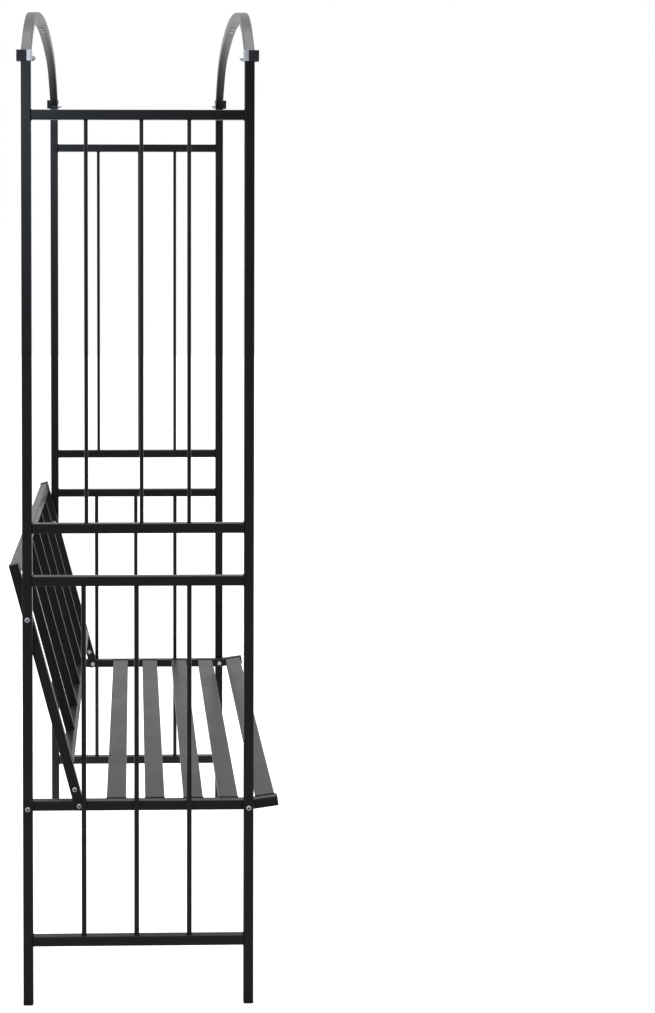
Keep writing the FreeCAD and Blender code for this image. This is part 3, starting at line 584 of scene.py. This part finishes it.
def arch_half():
    """The left half of an arch: a stub, a tight bend and a wide bend, swept from a square section."""
    s = sizes()
    post, crown = middle("left_upper_post_front"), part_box("left_arch_front")[1].z - TUBE / 2
    spring = Vector((post.x, PANEL, crown - s.arch_rise))
    slope, tight = s.arch_start, s.arch_end_radius
    direction = Vector((math.cos(slope), 0, math.sin(slope)))
    down = Vector((math.sin(slope), 0, -math.cos(slope)))
    across = -post.x - s.arch_stub * math.cos(slope) - tight * math.sin(slope)
    upward = s.arch_rise - s.arch_stub * math.sin(slope) - tight * (1 - math.cos(slope))
    shared = 2 * math.atan(upward / across)
    wide = tight + across / math.sin(shared)

    piece = primitive("arch_half", "plane", size=TUBE, rotation=(0, math.pi / 2 - slope, 0),
                      location=spring - TUBE * direction)
    edit(piece)
    bpy.ops.mesh.bevel(offset=s.tube_corner, segments=5, affect="VERTICES")
    bpy.ops.mesh.delete(type="ONLY_FACE")
    bpy.ops.mesh.select_all(action="SELECT")
    bpy.ops.mesh.extrude_region_move(TRANSFORM_OT_translate={"value": direction * (TUBE + s.arch_stub)})
    bend = spring + direction * s.arch_stub + down * tight
    bpy.ops.mesh.spin(steps=s.arch_steps, angle=slope - shared, center=bend, axis=-Y)
    bpy.ops.mesh.spin(steps=s.arch_steps, angle=shared, center=(0, PANEL, crown - wide), axis=-Y)
    bpy.ops.mesh.select_all(action="SELECT")
    bpy.ops.mesh.region_to_loop()
    bpy.ops.mesh.edge_face_add()
    bpy.ops.mesh.select_all(action="SELECT")
    bpy.ops.mesh.bisect(plane_co=spring, plane_no=(direction + Z).normalized(), use_fill=True,
                        clear_inner=True)
    face_outwards(piece)
    pick(piece, edges=lambda edge: all(abs(vertex.co.x) < NEAR for vertex in edge.verts))
    bpy.ops.mesh.bevel(offset=s.seam_chamfer, segments=2, affect="EDGES")
    bpy.ops.object.mode_set(mode="OBJECT")
    smooth(piece, limit=30)
    return piece


class ARCH_OT_arches(Operator):
    """Sweep the four halves of the arches"""
    bl_idname = "garden_arch.arches"
    bl_label = "Arches"

    def execute(self, context):
        for side, across in SIDES:
            for end in ENDS:
                depth = middle(f"{side}_upper_post_{end}").y - PANEL
                spot = Matrix.Translation((0, depth, 0))
                if across > 0:
                    spot = Matrix.Translation((0, depth + 2 * PANEL, 0)) @ Matrix.Rotation(math.pi, 4, "Z")
                piece = stamp(f"{side}_{end}_arch_tube", (arch_half(), [spot]))
                finish_piece(piece, "black_powder_coat", "black_powder_coat", f"{side}_arch_{end}")
        return {"FINISHED"}


# ------------------------------------------------------------------ fasteners

# Depth of a thread as a part of its pitch, and where its flat root starts and ends in each turn.
THREAD_DEPTH, THREAD_ROOT = 0.5, (0.42, 0.58)


def thread_ridges(low, high, radius, pitch):
    """The outline of a thread from one height to another, as (radius, height) points."""
    count = max(1, round((high - low) / pitch))
    step, points = (high - low) / count, []
    for turn in range(count):
        base = low + turn * step
        points.append((radius, base))
        points += [(radius - THREAD_DEPTH * pitch, base + part * step) for part in THREAD_ROOT]
    return points + [(radius, high)]


def bolt_master(total):
    """A button-head socket bolt of so much overall length: its head is below the origin."""
    s = sizes()
    head, high, shank = s.bolt_head / 2, s.bolt_head_high, s.bolt_shank / 2
    crown, rim, lip = 0.6 * head, 0.16 * high, 0.05 * high
    profile = [(0, -high), (crown, -high)]
    for step in range(1, 7):
        turn = step * math.pi / 12
        profile.append((crown + (head - crown) * math.sin(turn), -rim - (high - rim) * math.cos(turn)))
    tip = total - high
    profile += [(head, -lip), (head - lip, 0), (shank, 0)]
    thread_start, thread_end = tip - s.nut_thick - s.thread_past_nut, tip - 0.8 * s.thread_pitch
    profile += thread_ridges(thread_start, thread_end, shank, s.thread_pitch)
    profile += [(shank - 0.7 * s.thread_pitch, tip), (0, tip)]
    piece = lathe("bolt", profile, steps=64)
    deep, point = -high + s.bolt_socket_deep, -high + 1.3 * s.bolt_socket_deep
    socket = lathe("socket_point", [(0, -high - MM), (s.bolt_socket, -high - MM), (s.bolt_socket, deep),
                                    (0, point)], steps=24)
    boolean(socket, hexagon_bar("socket", s.bolt_socket, -high - 2 * MM, 0), "INTERSECT")
    boolean(piece, socket, "DIFFERENCE")
    smooth(piece, limit=32)
    # Marks the faces inside the hexagon socket, which the zinc finish paints dark as painted shade.
    shaded = piece.data.attributes.new("recess", "FLOAT", "FACE")
    for face, mark in zip(piece.data.polygons, shaded.data):
        in_socket = face.center.xy.length < s.bolt_socket / math.sqrt(3)
        mark.value = float(in_socket and -high + NEAR < face.center.z < 0)
    return piece


def nut_master():
    """A chamfered hexagon nut that stands on the origin."""
    s = sizes()
    thick, corner, flat = s.nut_thick, s.nut_flats / math.sqrt(3), s.nut_flats / 2
    drop, face = 0.6 * (corner - flat), 0.96 * flat
    piece = hexagon_bar("nut", s.nut_flats, 0, thick)
    wide = corner + 0.2 * MM
    chamfer = lathe("chamfer", [(0, 0), (face, 0), (wide, drop), (wide, thick - drop), (face, thick),
                                (0, thick)], steps=96)
    boolean(piece, chamfer, "INTERSECT")
    hole, lead = s.bolt_shank / 2 + s.nut_thread_gap, s.nut_lead
    bore = lathe("bore", [(0, -lead), (hole + 2 * lead, -lead), (hole, lead), (hole, thick - lead),
                          (hole + 2 * lead, thick + lead), (0, thick + lead)], steps=48)
    boolean(piece, bore, "DIFFERENCE")
    smooth(piece, limit=25)
    return piece


def way_in(low, high, axis):
    """Which way along an axis a fastener is driven: towards the middle of what it fastens."""
    centre = (low[axis] + high[axis]) / 2 - (PANEL if axis == 1 else 0)
    direction = Vector((0, 0, 0))
    direction[axis] = -math.copysign(1, centre)
    return direction


def fastener_spots(node, lift=0.0):
    """A list of (length, matrix) for the fasteners of a node, each standing on its outer end, and lifted."""
    turns, spots = random.Random(node), []
    for low, high in islands(node):
        size = high - low
        axis = (min if node == "nuts" else max)(range(3), key=lambda n: size[n])
        direction = way_in(low, high, axis)
        place = (low + high) / 2 - direction * (size[axis] / 2 - lift)
        spots.append((size[axis], pointing(place, direction, turns.uniform(0, math.tau))))
    return spots


def bolts(name, node):
    """All the bolts of a node, one master for each length."""
    spots = fastener_spots(node, sizes().bolt_head_high)
    lengths = sorted({round(total, 4) for total, _ in spots})
    batches = [(bolt_master(size), [spot for total, spot in spots if round(total, 4) == size])
               for size in lengths]
    piece = stamp(name, *batches)
    finish_piece(piece, "zinc_steel", "zinc_steel", node)


class ARCH_OT_bolts(Operator):
    """Make the button-head bolts of the bench and of the corner clamps"""
    bl_idname = "garden_arch.bolts"
    bl_label = "Bolts"

    def execute(self, context):
        bolts("bench_button_bolts", "bench_bolts")
        bolts("clamp_button_bolts", "clamp_screws")
        return {"FINISHED"}


class ARCH_OT_nuts(Operator):
    """Make the nuts of the bench and of the corner clamps"""
    bl_idname = "garden_arch.nuts"
    bl_label = "Nuts"

    def execute(self, context):
        piece = stamp("hexagon_nuts", (nut_master(), [spot for _, spot in fastener_spots("nuts")]))
        finish_piece(piece, "zinc_steel", "zinc_steel", "nuts")
        return {"FINISHED"}


class ARCH_OT_crown_screws(Operator):
    """Make the pan-head screws under the joints of the arches"""
    bl_idname = "garden_arch.crown_screws"
    bl_label = "Crown screws"

    def execute(self, context):
        s = sizes()
        low, high = islands("crown_screws")[0]
        head, deep, total = (high.x - low.x) / 2, s.pan_head_high, high.z - low.z
        dome = [(0, 0)]
        for step in range(1, 9):
            turn = step * math.pi / 16
            dome.append((head * math.sin(turn) ** 0.7, 0.75 * deep * (1 - math.cos(turn))))
        shank = s.crown_screw_shank / 2
        thread_start, thread_end = deep + 0.3 * MM, total - MM
        profile = dome + [(head, deep), (shank, deep)]
        profile += thread_ridges(thread_start, thread_end, shank, 0.8 * s.thread_pitch) + [(0, total)]
        piece = lathe("pan_screw", profile, steps=48)
        arm, half = s.cross_long / 2, s.cross_wide / 2
        for x, y in ((half, arm), (arm, half)):
            boolean(piece, block("slot", (-x, -y, -MM), (x, y, s.cross_deep)), "DIFFERENCE")
        smooth(piece, limit=32)
        turns = random.Random("pan screws")
        spots = [Matrix.Translation(((a.x + b.x) / 2, (a.y + b.y) / 2, a.z))
                 @ Matrix.Rotation(turns.uniform(0, math.tau), 4, "Z") for a, b in islands("crown_screws")]
        finish_piece(stamp("pan_head_screws", (piece, spots)), "zinc_steel", "zinc_steel", "crown_screws")
        return {"FINISHED"}


# ------------------------------------------------------------------ corner clamps

CORNERS = [(across, along) for across in (1, -1) for along in (1, -1)]


def corner_cut(piece, x):
    """Cuts a piece through at a place across the arch."""
    edit(piece)
    bpy.ops.mesh.bisect(plane_co=(x, 0, 0), plane_no=(1, 0, 0))
    bpy.ops.object.mode_set(mode="OBJECT")


def screw_axis():
    """Middle of the left front clamp screw."""
    low, high = islands("clamp_screws")[0]
    return (low + high) / 2


def clamp_shell():
    """The moulded half of the left front clamp: a grooved block with a lip and a counterbore."""
    s = sizes()
    low, high = islands("clamp_shells")[0]
    post_low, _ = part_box("left_upper_post_front")
    piece = block("clamp_shell", low, (high.x, post_low.y, high.z))
    corner_cut(piece, post_low.x)
    pick(piece, faces=lambda face: face.normal.y > 0.9 and face.calc_center_median().x < post_low.x)
    bpy.ops.mesh.extrude_region_move(TRANSFORM_OT_translate={"value": (0, high.y - post_low.y, 0)})
    bpy.ops.object.mode_set(mode="OBJECT")
    bevel(piece, s.moulded_edge, segments=3)
    pitch = (high.z - low.z) / (s.clamp_grooves + 1)
    half = s.groove_width / 2
    levels = [low.z + pitch * count for count in range(1, s.clamp_grooves + 1)]
    edit(piece)
    for level in levels:
        for z in (level - half, level + half):
            bpy.ops.mesh.select_all(action="SELECT")
            bpy.ops.mesh.bisect(plane_co=(0, 0, z), plane_no=(0, 0, 1))
    bpy.ops.object.mode_set(mode="OBJECT")
    pick(piece, faces=lambda face: (face.normal.y < 0.05
                                    and face.calc_center_median().y < post_low.y - 0.1 * MM
                                    and abs(face.normal.z) < 0.1
                                    and any(abs(face.calc_center_median().z - z) < half for z in levels)))
    bpy.ops.mesh.extrude_region_shrink_fatten(
        TRANSFORM_OT_shrink_fatten={"value": -s.groove_depth, "use_even_offset": True})
    bpy.ops.object.mode_set(mode="OBJECT")
    axis = screw_axis()
    seat = islands("clamp_screws")[0][0].y + s.bolt_head_high
    into = pointing(Vector((axis.x, low.y - MM, axis.z)), Y)
    hole, bore = s.bolt_shank / 2 + s.bolt_gap, s.bolt_head / 2 + s.counterbore_gap
    lead, deep = MM + s.counterbore_lead, seat - low.y + MM
    drill = lathe("drill", [(0, 0), (bore + MM, 0), (bore, lead), (bore, deep), (hole, deep),
                            (hole, 3 * TUBE), (0, 3 * TUBE)], steps=64)
    drill.data.transform(into)
    boolean(piece, drill, "DIFFERENCE")
    smooth(piece, limit=35)
    return piece


def clamp_plate():
    """The pressed half of the left front clamp: a plate with its edge folded over the post."""
    s = sizes()
    low, high = islands("clamp_plates")[0]
    post_low, post_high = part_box("left_upper_post_front")
    piece = block("clamp_plate", (low.x, post_high.y, low.z), high)
    corner_cut(piece, post_low.x)
    pick(piece, faces=lambda face: face.normal.y < -0.9 and face.calc_center_median().x < post_low.x)
    bpy.ops.mesh.extrude_region_move(TRANSFORM_OT_translate={"value": (0, low.y - post_high.y, 0)})
    bpy.ops.mesh.select_all(action="SELECT")
    bpy.ops.mesh.dissolve_limited(angle_limit=math.radians(1))
    pick(piece, edges=lambda edge: all(abs(v.co.x - low.x) < NEAR and abs(v.co.y - high.y) < NEAR
                                       for v in edge.verts))
    bpy.ops.mesh.bevel(offset=s.plate_fold, segments=8, affect="EDGES")
    bpy.ops.object.mode_set(mode="OBJECT")
    bevel(piece, s.pressed_edge, segments=2)
    axis = screw_axis()
    hole = s.bolt_shank / 2 + s.bolt_gap
    drill = lathe("drill", [(0, 0), (hole, 0), (hole, TUBE), (0, TUBE)], steps=48)
    drill.data.transform(pointing(Vector((axis.x, post_high.y - MM, axis.z)), Y))
    boolean(piece, drill, "DIFFERENCE")
    smooth(piece, limit=35)
    return piece


class ARCH_OT_clamps(Operator):
    """Make the two halves of each corner clamp"""
    bl_idname = "garden_arch.clamps"
    bl_label = "Corner clamps"

    def execute(self, context):
        spots = [mirrored(*corner) for corner in CORNERS]
        shells = stamp("moulded_clamp_halves", (clamp_shell(), spots))
        finish_piece(shells, "black_plastic", "black_plastic", "clamp_shells")
        plates = stamp("pressed_clamp_halves", (clamp_plate(), spots))
        finish_piece(plates, "zinc_steel", "zinc_steel", "clamp_plates")
        return {"FINISHED"}


# ------------------------------------------------------------------ plugs

class ARCH_OT_plugs(Operator):
    """Make the moulded plugs in the open tube ends"""
    bl_idname = "garden_arch.plugs"
    bl_label = "Tube plugs"

    def execute(self, context):
        s = sizes()
        half = TUBE / 2
        flange = block("plug", (-half, -half, 0), (half, half, s.plug_flange))
        pick(flange, edges=lambda edge: abs(edge.verts[0].co.z - edge.verts[1].co.z) > 0.5 * s.plug_flange)
        bpy.ops.mesh.bevel(offset=s.tube_corner, segments=4, affect="EDGES")
        pick(flange, edges=lambda edge: all(v.co.z > 0.9 * s.plug_flange for v in edge.verts))
        bpy.ops.mesh.bevel(offset=s.plug_round, segments=4, affect="EDGES")
        pick(flange, faces=lambda face: face.normal.z < -0.9)
        bpy.ops.mesh.inset(thickness=s.tube_wall + s.plug_gap)
        bpy.ops.mesh.extrude_region_move(TRANSFORM_OT_translate={"value": (0, 0, -s.plug_insert)})
        bpy.ops.object.mode_set(mode="OBJECT")
        smooth(flange, limit=35)
        lip_up = Vector((0, -math.cos(s.seat_rise), math.sin(s.seat_rise)))
        spots = []
        for side, _ in SIDES:
            ends = [(f"{side}_lower_post_{end}", -Z) for end in ENDS]
            ends += [(f"{side}_seat_rail", Y), (f"{side}_seat_rail", lip_up), (f"{side}_back_rail", BACK_UP)]
            for node, out in ends:
                spots.append(facing(end_centre(node, out), X, out.cross(X)))
        plugs = stamp("moulded_tube_plugs", (flange, spots))
        finish_piece(plugs, "black_plastic", "black_plastic", "tube_plugs")
        return {"FINISHED"}


# ------------------------------------------------------------------ welds

# How wide a bead is in its valleys and on its ridges, as a part of its radius, and how much each strays.
BEAD_VALLEY, BEAD_RIDGE, BEAD_STRAY = 0.86, 1.1, 0.06


def rippled(ring, radius, seed):
    """Turns a closed loop of edges into a weld bead that swells and narrows along its length."""
    only(ring)
    bpy.ops.object.convert(target="CURVE")
    curve, uneven = bpy.context.object, random.Random(seed)
    curve.data.bevel_depth, curve.data.bevel_resolution = radius, 2
    for count, point in enumerate(curve.data.splines[0].points):
        level = BEAD_VALLEY if count % 2 else BEAD_RIDGE
        point.radius = level + uneven.uniform(-BEAD_STRAY, BEAD_STRAY)
    bpy.ops.object.convert(target="MESH")
    bead = bpy.context.object
    face_outwards(bead)
    smooth(bead, limit=80)
    return bead


def square_bead(wide, tall, radius):
    """A bead in the XY plane round a rectangular outline."""
    s = sizes()
    ring = primitive("bead", "plane", size=1)
    edit(ring)
    bpy.ops.transform.resize(value=(wide, tall, 1))
    bpy.ops.mesh.bevel(offset=s.tube_corner, segments=3, affect="VERTICES")
    bpy.ops.mesh.delete(type="ONLY_FACE")
    step = s.weld_ripple / 2
    for axis, size in ((0, wide), (1, tall)):
        run = size - 2 * s.tube_corner
        pick(ring, edges=lambda edge: abs(edge.verts[0].co[axis] - edge.verts[1].co[axis]) > 0.9 * run)
        bpy.ops.mesh.subdivide(number_cuts=max(1, round(run / step) - 1))
    bpy.ops.object.mode_set(mode="OBJECT")
    return rippled(ring, radius, f"{wide:.4f} {tall:.4f}")


def round_bead(diameter):
    """A bead in the XY plane round a rod."""
    s = sizes()
    steps = 2 * round(math.pi * diameter / s.weld_ripple)
    ring = primitive("bead", "circle", vertices=steps, radius=diameter / 2)
    return rippled(ring, s.rod_weld_bead, f"{diameter:.4f}")


def welds(name, *batches):
    piece = stamp(name, *batches)
    finish_piece(piece, "weld", "black_powder_coat")


class ARCH_OT_panel_welds(Operator):
    """Lay the weld beads of the side panels"""
    bl_idname = "garden_arch.panel_welds"
    bl_label = "Panel welds"

    def execute(self, context):
        s = sizes()
        sunk = s.weld_bead - s.weld_flush
        for side, _ in SIDES:
            rails = []
            for rail in ("bottom_rail", "lower_frame_top_rail", "upper_frame_bottom_rail", "top_rail"):
                low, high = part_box(f"{side}_{rail}")
                for y in (low.y, high.y):
                    rails.append(facing(Vector(((low.x + high.x) / 2, y, (low.z + high.z) / 2)), X, Z))
            batches = [(square_bead(TUBE - 2 * sunk, TUBE, s.weld_bead), rails)]
            for level in ("lower", "upper"):
                rods = []
                for spot in ("rear", "middle", "front"):
                    low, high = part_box(f"{side}_{level}_rod_{spot}")
                    for z in (low.z, high.z):
                        rods.append(facing(Vector(((low.x + high.x) / 2, (low.y + high.y) / 2, z)), X, Y))
                batches.append((round_bead(high.y - low.y), rods))
            welds(f"{side}_panel_welds", *batches)
        return {"FINISHED"}


class ARCH_OT_bench_welds(Operator):
    """Lay the weld beads of the seat and the backrest"""
    bl_idname = "garden_arch.bench_welds"
    bl_label = "Bench welds"

    def execute(self, context):
        s = sizes()
        sunk = s.weld_bead - s.weld_flush
        slat_sunk = s.slat_weld_bead - s.slat_weld_proud
        depth = X.cross(BACK_UP)
        low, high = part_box(SLATS[0])
        ends, wide, thick = (low.x, high.x), high.y - low.y, high.z - low.z
        slats = []
        for node in SLATS:
            lean = s.seat_rise if node == SLATS[-1] else 0
            along = Vector((0, -math.cos(lean), math.sin(lean)))
            up = Vector((0, math.sin(lean), math.cos(lean)))
            for x in ends:
                place = middle(node) - up * (slat_sunk / 2)
                slats.append(facing(Vector((x, place.y, place.z)), along, up))
        welds("seat_welds", (square_bead(wide, thick - slat_sunk, s.slat_weld_bead), slats))
        rails = [facing(Vector((x, *middle(node).yz)), depth, BACK_UP)
                 for node in ("back_top_rail", "back_lower_rail") for x in ends]
        spindles = []
        for spindle in SPINDLES:
            x = middle(spindle).x
            for node, way in (("back_top_rail", -1), ("back_lower_rail", 1)):
                place = middle(node) + BACK_UP * way * TUBE / 2
                spindles.append(facing(Vector((x, place.y, place.z)), X, depth))
        welds("backrest_welds", (square_bead(TUBE - 2 * sunk, TUBE, s.weld_bead), rails),
              (square_bead(span(SPINDLES[0]).x, TUBE - 2 * sunk, s.weld_bead), spindles))
        return {"FINISHED"}


# ------------------------------------------------------------------ studio

FLOOR_SIZE = 40
FLOOR_GLOW, FLOOR_GLOW_SEEN = 0.25, 0.6
# Light rises along X from "darkest" at "near" to 1 at "far": in metres on the floor, and as the X part of
# the direction on the world.
FLOOR_SHADE = {"near": -0.7, "far": 0.9, "darkest": 0.34}
WORLD_SHADE = {"near": -0.9, "far": -0.3, "darkest": 0.1}
WHITE, COOL_WHITE, COOL_LIGHT = (1, 1, 1), (0.94, 0.97, 1), (0.74, 0.85, 1)
# The camera's place from the left panel's outward side and from the panel's middle, and its height.
CAMERA_BACK, CAMERA_ASIDE, CAMERA_HIGH = 3.554, 0.0086, 1.551
CAMERA_TURN, CAMERA_TIP = math.radians(1.287), math.radians(1.996)
CAMERA_LENS, CAMERA_SENSOR = 62.95, 36
CAMERA_SHIFT = (0.152, -0.2)


class ARCH_OT_stage(Operator):
    """Make the floor, the soft studio light and the camera"""
    bl_idname = "garden_arch.stage"
    bl_label = "Studio"

    def execute(self, context):
        floor = primitive("studio_floor", "plane", size=FLOOR_SIZE)
        material, tree, shader = new_material("studio_floor")
        shader.inputs["Roughness"].default_value = 0.9
        shader.inputs["Emission Color"].default_value = (*WHITE, 1)
        lit = camera_side_shade(tree, "Object", **FLOOR_SHADE)
        seen = node(tree, "ShaderNodeLightPath").outputs["Is Camera Ray"]
        pale = blend_colours(tree, (0, 0, 0), colours().floor, math_node(tree, "MAXIMUM", lit, seen))
        tree.links.new(pale, shader.inputs["Base Color"])
        glow = math_node(tree, "MAXIMUM", math_node(tree, "MULTIPLY", lit, FLOOR_GLOW),
                         math_node(tree, "MULTIPLY", seen, FLOOR_GLOW_SEEN))
        tree.links.new(glow, shader.inputs["Emission Strength"])
        floor.data.materials.append(material)
        studio_world()
        softbox("softbox_above", place=(0, 0, 5.2), target=(0, 0, 1), side=3.4, power=150, tint=WHITE)
        softbox("softbox_cool", place=(-4.2, 1.0, 2.25), target=(-0.6, 0.2, 1.9), side=0.5, power=22,
                tint=COOL_LIGHT)
        studio_camera()
        context.scene.view_settings.view_transform = "Standard"
        return {"FINISHED"}


def camera_side_shade(tree, coordinates, near, far, darkest):
    """Rises along X from its darkest on the camera's side to 1."""
    toward = node(tree, "ShaderNodeSeparateXYZ")
    tree.links.new(node(tree, "ShaderNodeTexCoord").outputs[coordinates], toward.inputs[0])
    shade = node(tree, "ShaderNodeMapRange", interpolation_type="SMOOTHSTEP")
    for name, value in (("From Min", near), ("From Max", far), ("To Min", darkest), ("To Max", 1.0)):
        shade.inputs[name].default_value = value
    tree.links.new(toward.outputs["X"], shade.inputs["Value"])
    return shade.outputs["Result"]


def studio_world():
    """White all round, darker on the camera's own side, where no light stands."""
    world = bpy.data.worlds.new("studio")
    bpy.context.scene.world = world
    world.use_nodes = True
    tree = world.node_tree
    background = tree.nodes["Background"]
    lit = camera_side_shade(tree, "Generated", **WORLD_SHADE)
    seen = node(tree, "ShaderNodeLightPath").outputs["Is Camera Ray"]
    tree.links.new(math_node(tree, "MAXIMUM", lit, seen), background.inputs["Strength"])
    tree.links.new(blend_colours(tree, COOL_WHITE, WHITE, seen), background.inputs["Color"])


def softbox(name, place, target, side, power, tint):
    """A square softbox that the camera doesn't see."""
    light = bpy.data.lights.new(name, "AREA")
    light.shape, light.size, light.size_y, light.energy = "RECTANGLE", side, side, power
    light.color = tint
    lamp = bpy.data.objects.new(name, light)
    lamp.location, lamp.visible_camera = place, False
    lamp.rotation_euler = (Vector(target) - Vector(place)).to_track_quat("-Z", "Y").to_euler()
    bpy.context.scene.collection.objects.link(lamp)


def studio_camera():
    """Looks along the bench from the left, at standing eye height, a little to the front and down."""
    panel = middle("left_bottom_rail")
    data = bpy.data.cameras.new("camera")
    data.lens, data.sensor_width = CAMERA_LENS, CAMERA_SENSOR
    data.shift_x, data.shift_y = CAMERA_SHIFT
    camera = bpy.data.objects.new("camera", data)
    camera.location = (panel.x - TUBE / 2 - CAMERA_BACK, panel.y + CAMERA_ASIDE, CAMERA_HIGH)
    level = math.cos(CAMERA_TIP)
    aim = Vector((level * math.cos(CAMERA_TURN), -level * math.sin(CAMERA_TURN), -math.sin(CAMERA_TIP)))
    camera.rotation_euler = aim.to_track_quat("-Z", "Y").to_euler()
    bpy.context.scene.collection.objects.link(camera)
    bpy.context.scene.camera = camera


# ------------------------------------------------------------------ add-on

class ARCH_PT_parts(Panel):
    """The steps that dress the frame, in order"""
    bl_label = "Garden Arch"
    bl_idname = "ARCH_PT_parts"
    bl_space_type = "VIEW_3D"
    bl_region_type = "UI"
    bl_category = "Garden Arch"

    def draw(self, context):
        for step in STEPS:
            self.layout.operator(step.bl_idname)


STEPS = (ARCH_OT_finishes, ARCH_OT_arches, ARCH_OT_clamps, ARCH_OT_bolts, ARCH_OT_nuts, ARCH_OT_crown_screws,
         ARCH_OT_plugs, ARCH_OT_panel_welds, ARCH_OT_bench_welds, ARCH_OT_stage)
CLASSES = (ArchSizes, ArchColours, *STEPS, ARCH_PT_parts)


def register():
    for part in CLASSES:
        bpy.utils.register_class(part)
    bpy.types.Scene.arch_sizes = PointerProperty(type=ArchSizes)
    bpy.types.Scene.arch_colours = PointerProperty(type=ArchColours)


def unregister():
    del bpy.types.Scene.arch_colours
    del bpy.types.Scene.arch_sizes
    for part in reversed(CLASSES):
        bpy.utils.unregister_class(part)


def main():
    register()
    for step in STEPS:
        group, name = step.bl_idname.split(".")
        getattr(getattr(bpy.ops, group), name)()


if __name__ == "__main__":
    main()
